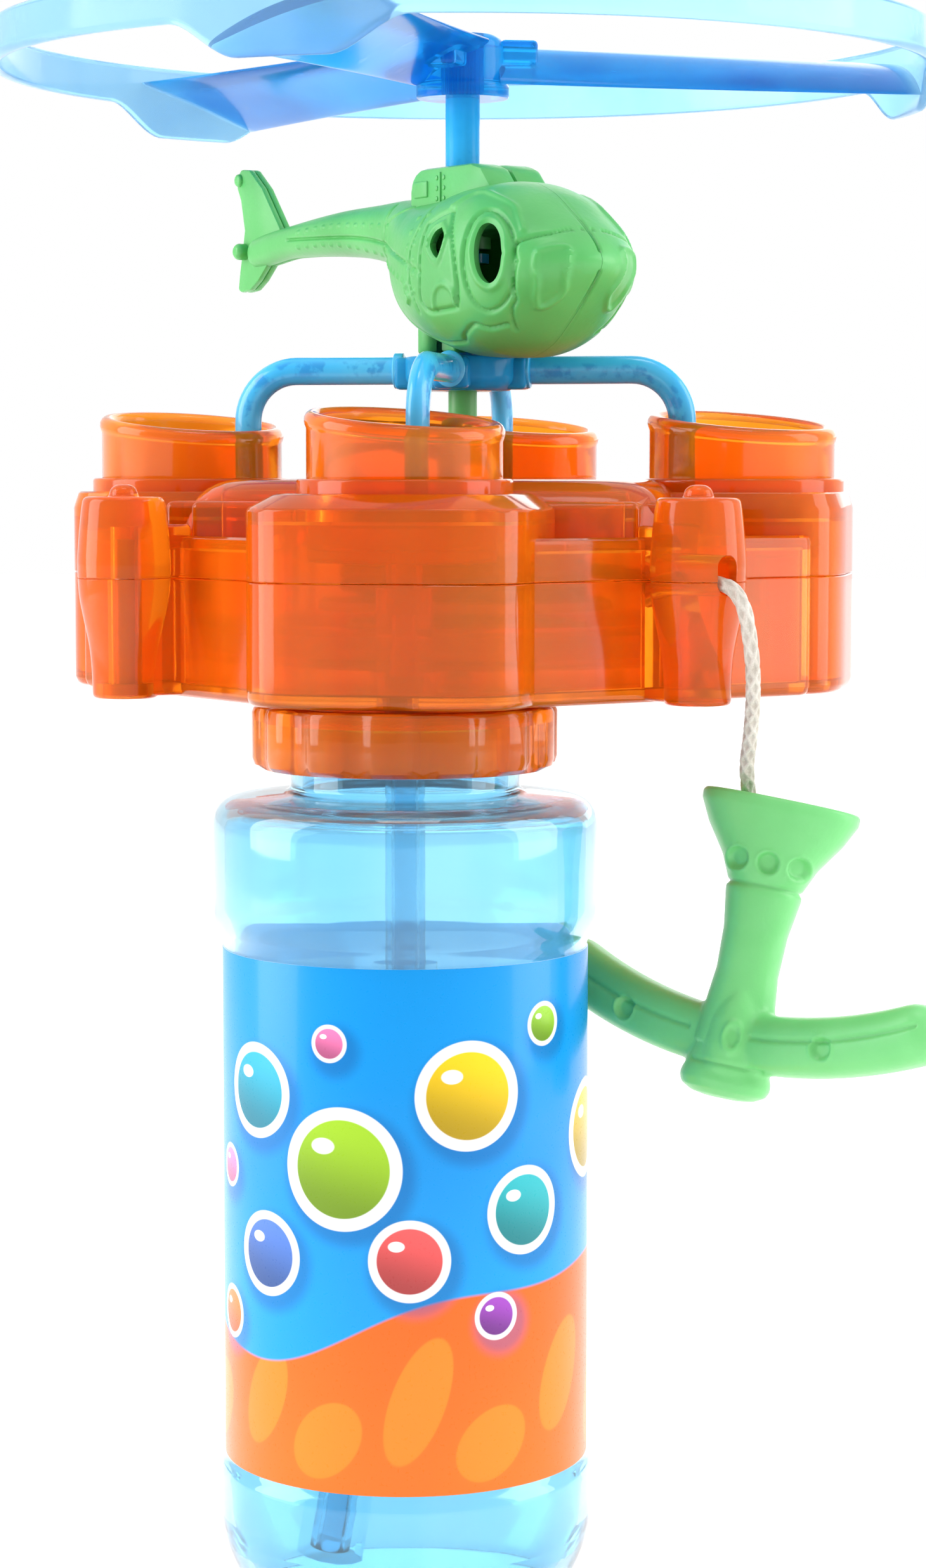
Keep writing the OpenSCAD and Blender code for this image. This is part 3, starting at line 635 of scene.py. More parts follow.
def braided(name, line, radius=0.9, sides=36, lay=2.6):
    """A braid: two sets of four strands that run round each other, as raised yarn on a tube."""
    travel = [0.0]
    for a, b in zip(line, line[1:]):
        travel.append(travel[-1] + (b - a).length)

    def section(i):
        ring = []
        for k in range(sides):
            turn = 2 * math.pi * k / sides
            one = math.sin(4 * turn + 2 * math.pi * travel[i] / lay)
            two = math.sin(4 * turn - 2 * math.pi * travel[i] / lay)
            r = radius * (0.86 + 0.14 * max(one, two))
            ring.append((r * math.cos(turn), r * math.sin(turn)))
        return ring

    piece = skin(name, along_path(line, section), angle=80)
    layer = piece.data.uv_layers.active.data
    for loop_uv in layer:
        loop_uv.uv = (loop_uv.uv[0], loop_uv.uv[1] * travel[-1] / lay)
    return piece, travel[-1]


free_line = through(FREE_CORD, 0.16)
pull_cord, free_length = braided("braided_pull_cord", free_line)
finish_piece(pull_cord, BRAID, "cord_fabric", None, "pull_cord")

knot_line = []
for k in range(61):
    a = 2 * math.pi * k / 60
    knot_line.append(Vector((0.55 * (math.sin(a) + 1.2 * math.sin(2 * a)),
                             0.55 * (math.cos(a) - 1.2 * math.cos(2 * a)), -0.8 * math.sin(3 * a))))
HANDLE_TURNS = ((11, "Z"), (12, "Y"), (-8, "X"), (-9, "Z"))
GRIP = Matrix.Translation((0.0441, 0.0107, 0.09825))
for turn, axis in HANDLE_TURNS:
    GRIP = GRIP @ Matrix.Rotation(math.radians(turn), 4, axis)
knot, _ = braided("stopper_knot", knot_line, 0.48, 20, 1.4)
move(knot, GRIP @ Matrix.Translation((0, 0, -0.0181)))
finish_piece(knot, BRAID, "cord_fabric", "handle", "cord_knot")

held, _ = braided("held_cord", through(HELD_CORD, 0.3), 0.88)
finish_piece(held, BRAID, "cord_fabric", "drum", "cord_run")

coil_line = []
for k in range(181):
    a = math.radians(6 * k)
    coil_line.append(Vector((COIL_RADIUS * math.cos(a), SPINDLE[1] + COIL_RADIUS * math.sin(a),
                             122.4 + 1.83 * a / (2 * math.pi) * 0.83)))
coil, _ = braided("wound_cord", coil_line, 0.88, 24)
under_line = [Vector((p.x * 0.908, SPINDLE[1] + (p.y - SPINDLE[1]) * 0.908, 249 - p.z)) for p in coil_line]
under, _ = braided("wound_cord_under", under_line, 0.62, 20)
gather(coil, under)
finish_piece(coil, BRAID, "cord_fabric", "reel", "cord_winding")


# Bottle

bottle_line = rounded([(0, 0, 0), (17.8, 0, 1.6), (22.6, 10, 4), (22.6, 18.5, 1.3), (21.7, 19.8, 1),
                       (21.7, 82, 1.4), (23, 84.4, 1.6), (23, 99, 3.7), (16, 99.7, 1.5), (13.7, 99.9, 0.9),
                       (13.7, 107.9, 0.4), (12.3, 107.9, 0.4), (12.3, 98.7, 1), (17, 98.2, 1.4),
                       (21.6, 97.5, 3), (21.6, 85, 1.4), (20.3, 82.4, 1.2), (20.3, 19.2, 1),
                       (21.2, 17.9, 1.2), (21.2, 10.6, 3.4), (17.2, 2.4, 1.4), (0, 2.2, 0)], 6)
bottle = turned("blown_bottle", bottle_line, steps=128)
finish_piece(bottle, BOTTLE, "bottle_blue", "bottle", "bottle")

tube_line = through([(0, 0, 113.5), (0, 0, 100), (0, 0, 70), (-0.4, 0, 62), (-1.2, 0, 54), (-2.5, 0, 45),
                     (-9, 0, 7)], 2.0)
tube = skin("dip_tube_bore", along_path(tube_line, oval_section(2.4, 2.4)), caps=False)
worked(tube, "SOLIDIFY", thickness=1.1 * MM, offset=-1)
finish_piece(tube, TUBE, "tube_clear", "drum", "dip_tube")


# Label: a printed wrap with a lapped seam at the back

LABEL_DROPS = ((-14, 30, 3.2, 6), (-5, 26, 4.2, 4.6), (6, 31, 3.4, 7.5), (15, 25.5, 4.4, 4.4),
               (26, 32, 3.6, 6.5), (-27, 27, 4.6, 5), (38, 27, 4, 6), (-40, 31, 3.4, 7), (52, 28, 4.4, 5),
               (-55, 27, 4, 5.5))
LABEL_BUBBLES = ((-15.5, 66, 5.6, (0.02, 0.42, 0.6)), (-3, 58, 7.2, (0.35, 0.62, 0.02)),
                 (12, 66.5, 6.4, (0.95, 0.62, 0.01)), (5, 47.5, 4.8, (0.85, 0.1, 0.1)),
                 (-13.5, 47, 5, (0.08, 0.2, 0.62)), (19.5, 52.5, 5.2, (0.02, 0.45, 0.5)),
                 (-22.5, 56, 2.6, (0.9, 0.22, 0.5)), (15.5, 40.5, 2.8, (0.35, 0.06, 0.5)),
                 (-4.5, 72.5, 2.2, (0.9, 0.2, 0.45)), (-22, 38.5, 3.2, (0.95, 0.2, 0.02)),
                 (22.5, 74, 2.6, (0.3, 0.6, 0.02)), (34, 60, 6, (0.9, 0.6, 0.02)),
                 (-36, 64, 6.6, (0.3, 0.6, 0.03)), (45, 48, 4.4, (0.1, 0.2, 0.6)),
                 (-48, 50, 5, (0.03, 0.42, 0.55)), (58, 66, 5.2, (0.85, 0.12, 0.12)))


def label_print():
    """Blue over orange with a soft wavy border, pale drops and loose bubbles with white rims; the reverse
    face glows with painted light.
    """
    finish = Finish("label_print", {"IOR": 1.5, "Coat Roughness": 0.08, "Specular IOR Level": 0.25,
                                    "Emission Strength": 1.0})
    x, y, z = finish.place()
    turn = finish.sum("ARCTAN2", x, -y)
    s = turn * 21.9
    wave = (finish.sum("SINE", turn * 4 + 0.6) * 1.2 + finish.sum("SINE", turn * 2 - 0.4) * 1.6
            + finish.sum("SINE", turn) * 4.2)
    border = finish.smooth(z - 39.5 - wave, -0.25, 0.25)
    glow = finish.spots(34, 2)
    sky = finish.ramp(finish.smooth(z + 10 * glow, 34, 86),
                      ((0.0, (0.0, 0.33, 0.8)), (0.6, (0.0, 0.27, 0.72)), (1.0, (0.0, 0.29, 0.75))))
    sun = finish.ramp(finish.smooth(z + 8 * glow, 18, 50),
                      ((0.0, (1.0, 0.17, 0.008)), (1.0, (0.94, 0.13, 0.004))))
    drops = None
    for centre, height, wide, tall in LABEL_DROPS:
        lean = (z - height) * 0.3
        ring = ((s - centre - lean) / wide) ** 2 + ((z - height) / tall) ** 2
        drop = finish.smooth(ring, 1.06, 0.94)
        drops = drop if drops is None else finish.sum("MAXIMUM", drops, drop)
    colour = finish.mix(border, finish.mix(drops * 0.8, sun, (1.0, 0.26, 0.014)), sky)
    for centre, height, size, tint in LABEL_BUBBLES:
        away = finish.sum("SQRT", (s - centre) ** 2 + (z - height) ** 2)
        shadow = finish.sum("SQRT", (s - centre - 0.7) ** 2 + (z - height + 0.9) ** 2)
        colour = finish.mix(finish.smooth(shadow, size + 1.9, size - 0.2) * 0.5, colour, (0.0, 0.08, 0.3))
        colour = finish.mix(finish.smooth(away, size + 0.1, size - 0.1), colour, (0.95, 0.96, 0.97))
        inner = size * 0.8
        light = finish.smooth(z - height + 0.3 * (s - centre), -inner, inner)
        dark = tuple(0.45 * c for c in tint)
        ball = finish.mix(light, dark, tint)
        colour = finish.mix(finish.smooth(away, inner + 0.1, inner - 0.1), colour, ball)
        across = (s - centre + 0.32 * size) / (0.2 * size)
        above = (z - height - 0.36 * size) / (0.13 * size)
        glint = across ** 2 + above ** 2
        colour = finish.mix(finish.smooth(glint, 1.2, 0.8) * 0.9, colour, (1.0, 1.0, 1.0))
    # The label's reverse face, seen through the bottle, is pale blue and glows: painted light standing in
    # for light that comes through the glass.
    glowing_reverse = finish.smooth(finish.sum("SQRT", x ** 2 + y ** 2), 21.86, 21.79)
    colour = finish.mix(glowing_reverse, colour, (0.72, 0.88, 0.97))
    finish.feed(finish.shader.inputs["Emission Color"], finish.mix(glowing_reverse, (0, 0, 0), (0.24, 0.44, 0.58)))
    grain = finish.spots(2600, 2)
    finish.wear(colour, 0.24 + 0.1 * grain, 0.12 + 0.1 * glow)
    finish.relief(finish.spots(90, 2) + 0.05 * grain, 0.0003, 0.08)
    return finish.material


label = turned("wrap_label",
               rounded([(21.74, 19.9, 0), (21.9, 19.9, 0.06), (21.9, 81.3, 0.06), (21.74, 81.3, 0),
                        (21.74, 19.9, 0)], 2), steps=160)
lap = skin("label_lap",
           [[(21.96 * MM * math.sin(a), 21.96 * MM * math.cos(a), z * MM)
             for a in np.linspace(-0.02, 0.24, 12)] for z in (20.0, 50.6, 81.2)], wrap=False, caps=False)
worked(lap, "SOLIDIFY", thickness=0.06 * MM)
gather(label, lap)
finish_piece(label, label_print(), "label_print", "bottle", "bottle_label")


# Screw collar: fourteen grip ribs on a round wall

def collar_rows():
    """The ribbed outside, then the stepped inside, ring by ring."""
    outer = [(-1.5, 102.5), (-0.9, 102.6), (-0.25, 103.2), (0, 104), (0, 109.4), (-0.2, 109.9),
             (-0.6, 110.1)]
    inner = [(14.6, 110.1), (14.6, 109.5), (16.5, 109.5), (16.5, 108.1), (14.2, 108.1), (14.2, 103),
             (14.6, 102.5)]
    sides = 14 * 16
    rows = []
    for drop, z in outer:
        row = []
        for k in range(sides):
            part = (k % 16) / 16
            rib = 0.5 + 0.5 * math.tanh(9 * (0.30 - abs(part - 0.5))) if z > 102.9 else 0.5
            a = 2 * math.pi * k / sides + 0.1
            r = 17.35 + drop + 0.95 * rib
            row.append((r * MM * math.cos(a), r * MM * math.sin(a), z * MM))
        rows.append(row)
    for r, z in inner:
        rows.append([(r * MM * math.cos(2 * math.pi * k / sides + 0.1),
                      r * MM * math.sin(2 * math.pi * k / sides + 0.1), z * MM) for k in range(sides)])
    return rows


collar = skin("ribbed_collar", collar_rows(), loop=True, angle=30)
finish_piece(collar, ORANGE, "orange_clear", "collar", "screw_collar")


# Drum: an eight-sided body, a lobe round each cup and four towers

TOWERS = (-45, 45, 135, 225)
SCREW_TOWERS = TOWERS[1:]
TOWER_RING = 49.4
WALL_RING = 43.6
END_HALF = 46.2
SHELL_WALL = 1.5
DRUM_LOW = 110.4
LOW_PARTING = 124.88
HIGH_PARTING = 124.98
LOBES = {"front": (17.4, 17.3), "right": (13.7, 15.2), "back": (15.2, 13.7), "left": (13.7, 15.2)}


def squared_ring(centre, wide, deep, power, z, count):
    """A level ring between an oval and a square; a higher power has tighter corners."""
    row = []
    for k in range(count):
        a = 2 * math.pi * (k + 0.5) / count
        c, s = math.cos(a), math.sin(a)
        reach = ((abs(c) / wide) ** power + (abs(s) / deep) ** power) ** (-1 / power)
        row.append(((centre[0] + reach * c) * MM, (centre[1] + reach * s) * MM, z * MM))
    return row


def lobe(side, levels):
    """A square with well rounded corners round one cup, through levels of (inset, height)."""
    wide, deep = LOBES[side]
    rows = [squared_ring(CUPS[side], wide - inset, deep - inset, 4, z, 128) for inset, z in levels]
    return skin("lobe_" + side, rows)


def octagon(name, levels, soft=0.9):
    """The eight-sided body with softened upright edges, through levels of (inset, height)."""
    rows = []
    for inset, z in levels:
        end = END_HALF - inset
        side = (WALL_RING - inset) * math.sqrt(2) - end
        corners = [Vector(p)
                   for p in ((end, side), (side, end), (-side, end), (-end, side), (-end, -side),
                             (-side, -end), (side, -end), (end, -side))]
        row = []
        for k, here in enumerate(corners):
            back = (corners[k - 1] - here).normalized() * soft
            ahead = (corners[(k + 1) % 8] - here).normalized() * soft
            for i in range(6):
                spot = here + back * (1 - i / 5) ** 2 + ahead * (i / 5) ** 2
                row.append((spot.x * MM, (SPINDLE[1] + spot.y) * MM, z * MM))
        rows.append(row)
    return skin(name, rows)


def web(turn, high):
    """The wall between a tower and the body."""
    return move(block("web", (41.9, -3.4, high[0]), (TOWER_RING, 3.4, high[1]), 0.5), about_spindle(turn))


def tower_spot(turn):
    """The middle of a corner tower."""
    return TOWER_RING * math.cos(math.radians(turn)), SPINDLE[1] + TOWER_RING * math.sin(math.radians(turn))


def outlet_tool(rise):
    """Arched way out for the cord: a round bore with a taller arch above the parting line."""
    tool = turned("outlet_bore", [(0, 0), (3.4, 0), (1.4, 4.6), (1.4, 16), (0, 16)], steps=32)
    move(tool, Matrix.Rotation(math.radians(90), 4, "Y"))
    if rise:
        turns = np.linspace(0, 2 * math.pi, 33)[:-1]
        rows = [[(x * MM, 1.4 * MM * math.cos(a), (1.4 * math.sin(a) + (0 if a > math.pi else rise)) * MM)
                 for a in turns] for x in (4.5, 16)]
        tool = fuse(skin("outlet_arch", rows), tool)
    return move(tool, about_spindle(-45) @ Matrix.Translation((41.4 * MM, 0, 124.8 * MM)))


# Lower shell

low_wall = ((1.1, DRUM_LOW), (0.6, 110.5), (0.25, 110.8), (0, 111.5), (0, 124.75), (0.1, LOW_PARTING))
lower = octagon("lower_drum", low_wall)
for side in CUPS:
    fuse(lower, lobe(side, low_wall))
low_room = ((2.1, 111.9), (1.6, 112.2), (SHELL_WALL, 112.8), (SHELL_WALL, 130))
cut(lower, octagon("hollow", low_room))
for side in CUPS:
    cut(lower, lobe(side, low_room))
barrel = rounded([(0, DRUM_LOW, 0), (3.95, DRUM_LOW, 0.6), (4.05, 114, 2), (4.3, 116.7, 1.5),
                  (4.95, 119.8, 1.5), (5.5, 122.6, 1.5), (5.65, LOW_PARTING, 0.1), (0, LOW_PARTING, 0)], 6)
for turn in TOWERS:
    fuse(lower, web(turn, (110.7, 124.7)), turned("tower_foot", barrel, tower_spot(turn), 64))
cut(lower, rod("tube_bore", 2.46, 105, 118))
fuse(lower,
     turned("neck_boss",
            rounded([(2.6, 108.4, 0), (16.2, 108.4, 0.15), (16.2, 109.2, 0.15), (14.2, 109.2, 0),
                     (14.2, 111.2, 0), (2.6, 111.2, 0), (2.6, 108.4, 0)]), (0, 0), 96))
fuse(lower, rod("spindle_foot", 4.2, 111, 113.8, SPINDLE))
cut(lower, rod("spindle_bore", 2.05, 111.6, 120, SPINDLE))
cut(lower, outlet_tool(0))
for turn in SCREW_TOWERS:
    cut(lower,
        turned("screw_hole", [(0, 109), (2.8, 109), (2.8, 112.2), (1.55, 112.2), (1.55, 126), (0, 126)],
               tower_spot(turn), 32))
flat_shading(lower)
finish_piece(lower, ORANGE, "orange_clear", "drum", "lower_shell")

# Upper shell

upper = octagon("upper_drum", ((0.1, HIGH_PARTING), (0, 125.1), (0, 129.2), (0.15, 129.7), (0.6, 130)))
fuse(upper, block("step_x", (-32, 8.5, 127), (32, 63.5, 134.2), 1.0, 4),
     block("step_y", (-27.5, 4, 127), (27.5, 68, 134.2), 1.0, 4))

deck_levels = [(30.9, 128)]
for k in range(9):
    a = math.radians(90 * k / 8)
    deck_levels.append((24.6 + 6.3 * math.cos(a) ** 0.9, 130 + 6.8 * math.sin(a)))
deck_levels.append((20, 136.82))
deck_rows = [squared_ring(SPINDLE, half, half, 9, z, 96) for half, z in deck_levels]
fuse(upper, skin("deck", deck_rows))
ring_line = rounded([(0, 134.5, 0), (12.9, 134.5, 0), (12.9, 136.9, 0.45), (0, 136.9, 0)])
for side, spot in CUPS.items():
    rim = (((0.3, 133.6), (2.8, 135), (3.4, 135.2)) if side == "front"
           else ((0.12, 133.6), (0.55, 135), (0.8, 135.2)))
    fuse(upper, lobe(side, ((0.1, HIGH_PARTING), (0, 125.1), (0, 133.1), *rim)),
         turned("cup_ring", ring_line, spot, 120))
cut(upper, octagon("hollow", ((SHELL_WALL, 120), (SHELL_WALL, 128.2), (1.8, 128.5))))
cut(upper, block("deck_hollow", (-25, 11, 120), (25, 61, 134.4), 0.5))
for side in CUPS:
    cut(upper, lobe(side, ((SHELL_WALL, 120), (SHELL_WALL, 131.6), (1.9, 132))))
cap_line = rounded([(0, HIGH_PARTING, 0), (5.65, HIGH_PARTING, 0.1), (5.7, 127, 1), (5.5, 130, 2),
                    (5.15, 133.4, 1), (4.9, 134.75, 0.8), (1.85, 134.75, 0.25), (1.6, 135.7, 0.5),
                    (0.9, 136.2, 0.4), (0, 136.25, 0)], 6)
for turn in TOWERS:
    fuse(upper, web(turn, (125.1, 131.4)), turned("tower_cap", cap_line, tower_spot(turn), 64))
fuse(upper, rod("spindle_bush", 4.4, 130.4, 136, SPINDLE))
cut(upper, rod("spindle_way", 1.95, 120, 140, SPINDLE))
for spot in CUPS.values():
    cut(upper, rod("cup_way", 11.76, 120, 140, spot, 120))
for turn in SCREW_TOWERS:
    cut(upper, rod("screw_hole", 1.25, 120, 131, tower_spot(turn), 32))
cut(upper, outlet_tool(1.9))
flat_shading(upper)
finish_piece(upper, ORANGE, "orange_clear", "drum", "upper_shell")

# Cups: the beaded rims slant down towards the front right

cup_outside = rounded([(1.1, 121, 0), (2.2, 121, 0.2), (2.2, 127, 0.3), (11.7, 127, 0.6), (11.7, 142.2, 0)])
cup_lip = [(11.85, 142.55), (11.95, 143), (11.9, 143.5), (11.65, 143.95), (11.3, 144.2), (10.95, 144.25),
           (10.6, 144.15), (10.3, 143.9), (10.12, 143.5), (10.1, 143.05), (10.2, 142.6), (10.3, 142.2)]
cup_inside = rounded([(10.3, 142, 0), (10.3, 128.4, 1.2), (1.1, 128.4, 0.2), (1.1, 121, 0)])
cup_line = cup_outside + cup_lip + cup_inside[1:]
for name, spot in CUPS.items():
    cup = turned("dipping_cup_" + name, cup_line, spot, 128)
    for vertex in cup.data.vertices:
        lift = min(max((vertex.co.z / MM - 137.5) / 4.5, 0), 1)
        lean = (vertex.co.x / MM - spot[0] - vertex.co.y / MM + spot[1]) * 0.70711
        vertex.co.z -= lean * math.tan(math.radians(7)) * lift * lift * (3 - 2 * lift) * MM
    finish_piece(cup, ORANGE_CUP, "orange_clear", "drum", "cup_" + name)


# Hub, arms and bubble rings

def arm_line():
    """The middle of an arm: out from the hub, round a bend and down to its ring."""
    line = [Vector((4.4 + 17.5 * t / 8, 0, 150.65)) for t in range(8)]
    for k in range(15):
        a = math.radians(90 * k / 14)
        line.append(Vector((21.9 + 6.5 * math.sin(a), 0, 144.15 + 6.5 * math.cos(a))))
    return line + [Vector((28.4, 0, 144.15 - 12.2 * t / 6)) for t in range(1, 7)]


def arm_plastic():
    """Clear blue with a dark core line of flecks down the middle of each arm."""
    finish = Finish("blue_arm", {"Transmission Weight": 0.12, "IOR": 1.45, "Coat Roughness": 0.05})
    around, run = finish.along()
    fleck = finish.smooth(finish.spots(650, 3), 0.45, 0.62)
    core = finish.smooth(abs(finish.sum("SINE", around * (2 * math.pi))), 0.72, 0.98)
    tone = finish.spots(80, 3)
    body = finish.ramp(tone, ((0.3, (0.03, 0.5, 0.97)), (0.7, (0.09, 0.62, 1.0))))
    finish.wear(finish.mix(fleck * core * 0.6, body, (0.0, 0.24, 0.7)), 0.16 + 0.14 * tone,
                0.35 + 0.2 * tone)
    finish.relief(tone + 0.3 * fleck * core, 0.0003, 0.15)
    return finish.material


ARM = arm_plastic()
arm = skin("arm", along_path(arm_line(), oval_section(1.8, 1.4)))
rim = turned("arm_socket",
             rounded([(0, 0, 0), (1, 0, 0.1), (1.25, 0.15, 0.1), (1.25, 1.35, 0.1), (1, 1.5, 0.1),
                      (0, 1.5, 0)]), steps=40)
move(rim,
     Matrix.Translation((7.5 * MM, 0, 150.65 * MM)) @ Matrix.Diagonal((1, 1.6, 1.85, 1))
     @ Matrix.Rotation(math.radians(90), 4, "Y"))
bpy.ops.object.select_all(action="DESELECT")
bpy.ops.mesh.primitive_torus_add(location=(36 * MM, 0, 132.5 * MM), major_radius=7.9 * MM,
                                 minor_radius=1.4 * MM, major_segments=72, minor_segments=20)
ring = take("bubble_ring")
for vertex in ring.data.vertices:
    turn = math.atan2(vertex.co.y, vertex.co.x)
    ridge = 1 - 0.06 * (0.5 + 0.5 * math.cos(24 * turn)) * (1 if vertex.co.xy.length > 7.9 * MM else 0)
    vertex.co.z *= ridge
    vertex.co.xy *= 1 + (ridge - 1) * 0.6
done(ring)
gather(arm, rim, ring)
for k, name in enumerate(("front", "right", "back", "left")):
    wand = twin(arm, "bubble_wand_" + name)
    move(wand, about_spindle(-90 + 90 * k))
    finish_piece(wand, ARM, "blue_clear", "copter", "wand_" + name)
bpy.data.objects.remove(arm)

hub = turned("arm_hub_ring",
             rounded([(2.25, 148, 0), (6.2, 148, 1.2), (7.4, 149.2, 1), (7.4, 152.4, 0.5), (2.25, 152.4, 0),
                      (2.25, 148, 0)]), SPINDLE, 96)
for k in range(4):
    socket = block("socket_block", (5.6, -2.3, 148.2), (8.6, 2.3, 152.3), 0.7)
    move(socket, about_spindle(90 * k))
    gather(hub, socket)
finish_piece(hub, BLUE_ARM, "blue_clear", "copter", "arm_hub")

shaft = turned("rotor_shaft_rod",
               rounded([(0, 150.3, 0), (2.2, 150.3, 0.3), (2.2, 191.6, 0.3), (0, 192, 0)]), SPINDLE, 48)
cut(shaft, block("drive_slot", (-0.8, 34.2, 149), (0.8, 37.8, 152.9), 0.15))
finish_piece(shaft, BLUE_ARM, "blue_clear", "rotor", "rotor_shaft")

spindle = turned("drive_spindle_rod",
                 rounded([(0, 111.8, 0), (1.85, 111.8, 0.3), (1.85, 150, 0.25), (0, 150, 0)]), SPINDLE, 48)
gather(spindle, block("drive_tongue", (-0.5, 34.6, 149.2), (0.5, 37.4, 152.5), 0.2))
finish_piece(spindle, GREEN, "green_body", "reel", "drive_spindle")


# Rotor: hub, three pitched blades and hoop in one moulding

BLADE_TURN = 21


def blade_rows():
    """Sections of a blade from hub to hoop, pitched, crowned and wider outwards."""
    rows = []
    for i in range(41):
        t = i / 40
        half = (10 + 9 * (0.65 * t * t + 0.35 * t)) / 2
        high = 191.8 - 0.6 * t
        low = 186.6 - 0.9 * t
        thick = 1 - 0.3 * t
        row = []
        for k in range(56):
            turn = 2 * math.pi * k / 56
            side = 0.5 - 0.5 * math.cos(turn)
            y = half * (1 - 2 * side)
            x = 4 + (math.sqrt(59.25 ** 2 - y * y) - 4) * t
            z = high + (low - high) * side + 0.9 * math.sin(math.pi * side) + thick * math.sin(turn)
            row.append((x * MM, y * MM, z * MM))
        rows.append(row)
    return rows


def hoop_rows():
    """The hoop's section carried round; its lower edge hangs down in a round tab at each blade."""
    section = rounded([(58.5, 191, 0), (58.5, 188.4, 0.3), (59.3, 188.2, 0.4), (60, 188.8, 0.5),
                       (60, 193.1, 0.5), (59.3, 193.7, 0.4), (58.5, 193.4, 0.3), (58.5, 191.2, 0)], 4)
    rows = []
    for k in range(432):
        a = 360 * k / 432
        off = abs((a - BLADE_TURN + 60) % 120 - 60) * math.pi / 180 * 59.5
        swell = min(max((15 - off) / 9.5, 0), 1)
        drop = 4.3 * swell * swell * (3 - 2 * swell)
        row = []
        for r, z in section:
            share = min(max((191 - z) / 2.2, 0), 1)
            row.append((r * MM * math.cos(math.radians(a)), r * MM * math.sin(math.radians(a)),
                        (z - drop * share) * MM))
        rows.append(row)
    return rows


rotor = skin("hooped_rotor", hoop_rows(), loop=True, angle=40)
move(rotor, about_spindle(0))
fuse(rotor,
     turned("rotor_hub",
            rounded([(0, 185, 0), (5.9, 185, 0.35), (5.9, 186.7, 0.35), (5.4, 187, 0.2), (5.3, 192.2, 0.9),
                     (4.2, 193, 0.4), (0, 193, 0)]), SPINDLE, 96))
for k in range(3):
    blade = skin("blade", blade_rows(), angle=50)
    move(blade, about_spindle(BLADE_TURN + 120 * k))
    fuse(rotor, blade)
    root = block("blade_root", (4.6, -2.4, 188.4), (9.4, 2.4, 192.4), 0.6)
    move(root, about_spindle(BLADE_TURN + 120 * k))
    fuse(rotor, root)
cut(rotor, rod("shaft_way", 2.2, 180, 192, SPINDLE))
flat_shading(rotor, 40)
finish_piece(rotor, BLUE, "blue_clear", "rotor", "rotor")


# Helicopter: two halves, each a closed shell with its lines and rivets pressed in

HALF_GAP = 0.03
HULL = [(-52.4, 0.02, 168.1, 168.14, 2), (-52, 1.2, 166.8, 169.4, 2.1), (-50, 2.1, 166, 170.3, 2.2),
        (-40, 2.4, 166.9, 171.5, 2.2), (-28, 2.9, 166.5, 172.5, 2.2), (-18, 3.5, 165.4, 172.8, 2.2),
        (-11, 4.8, 163.2, 173, 2.3), (-6, 7.5, 158.3, 172.7, 2.4), (-2, 9.6, 155.2, 172.2, 2.4),
        (3, 11.2, 153.5, 172.3, 2.5), (9, 12, 152.1, 173.3, 2.5), (15, 11.9, 151.9, 173.6, 2.4),
        (20, 11, 153.4, 172, 2.3), (24, 9.3, 156.3, 169.4, 2.2), (27, 7.1, 159, 167.2, 2.1),
        (29, 4.4, 161, 165.4, 2), (30, 1.9, 162.3, 163.9, 2), (30.25, 0.02, 163.08, 163.12, 2)]


def hull_at(x):
    """Half width, lowest, highest and squareness of the body at a place along its nose axis."""
    k = 0
    while k < len(HULL) - 2 and HULL[k + 1][0] <= x:
        k += 1
    a, b = HULL[k], HULL[k + 1]
    before, after = HULL[max(k - 1, 0)], HULL[min(k + 2, len(HULL) - 1)]
    span = b[0] - a[0]
    t = (x - a[0]) / span
    out = []
    for c in range(1, 5):
        m0 = (b[c] - before[c]) / (b[0] - before[0]) * span
        m1 = (after[c] - a[c]) / (after[0] - a[0]) * span
        step = b[c] - a[c]
        m0 = 0 if m0 * step <= 0 else math.copysign(min(abs(m0), 2.6 * abs(step)), step)
        m1 = 0 if m1 * step <= 0 else math.copysign(min(abs(m1), 2.6 * abs(step)), step)
        out.append((2 * t ** 3 - 3 * t * t + 1) * a[c] + (t ** 3 - 2 * t * t + t) * m0
                   + (3 * t * t - 2 * t ** 3) * b[c] + (t ** 3 - t * t) * m1)
    return out


def flank(x, z):
    """The point of the right flank at that place along and that height."""
    w, low, high, p = hull_at(x)
    reach = min(abs(z - (low + high) / 2) / ((high - low) / 2), 0.999)
    return Vector((x, -w * (1 - reach ** p) ** (1 / p), z))


def hull_rows(stations, count, inset, side):
    """Sections of one half of the body, closed to a point at both ends."""
    rows = []
    for x in stations:
        w, low, high, p = hull_at(x)
        w, h, mid = max(w - inset, 0.01), max((high - low) / 2 - inset, 0.01), (low + high) / 2
        row = []
        for k in range(count):
            a = math.radians(-90 + 180 * k / (count - 1))
            c, s = math.cos(a), math.sin(a)
            row.append((x * MM, side * (HALF_GAP + w * abs(c) ** (2 / p)) * MM,
                        (mid + h * math.copysign(abs(s) ** (2 / p), s)) * MM))
        rows.append(row)
    ends = [[(rows[k][0][0], side * HALF_GAP * MM, (rows[k][0][2] + rows[k][-1][2]) / 2)] * count
            for k in (0, -1)]
    return [ends[0]] + rows + [ends[1]]


def drawn(points, closed=False):
    """A smooth line of (x, height) laid on the right flank."""
    points = points + points[:1] if closed else points
    return [flank(p.x, p.z) for p in through([(x, 0, z) for x, z in points], 0.12)]


def rivets(points, gap):
    """Places at even steps along a line on the right flank."""
    line = through([(x, 0, z) for x, z in points], 0.1)
    return [flank(p.x, p.z) for p in line[::max(1, round(gap / 0.1))]]


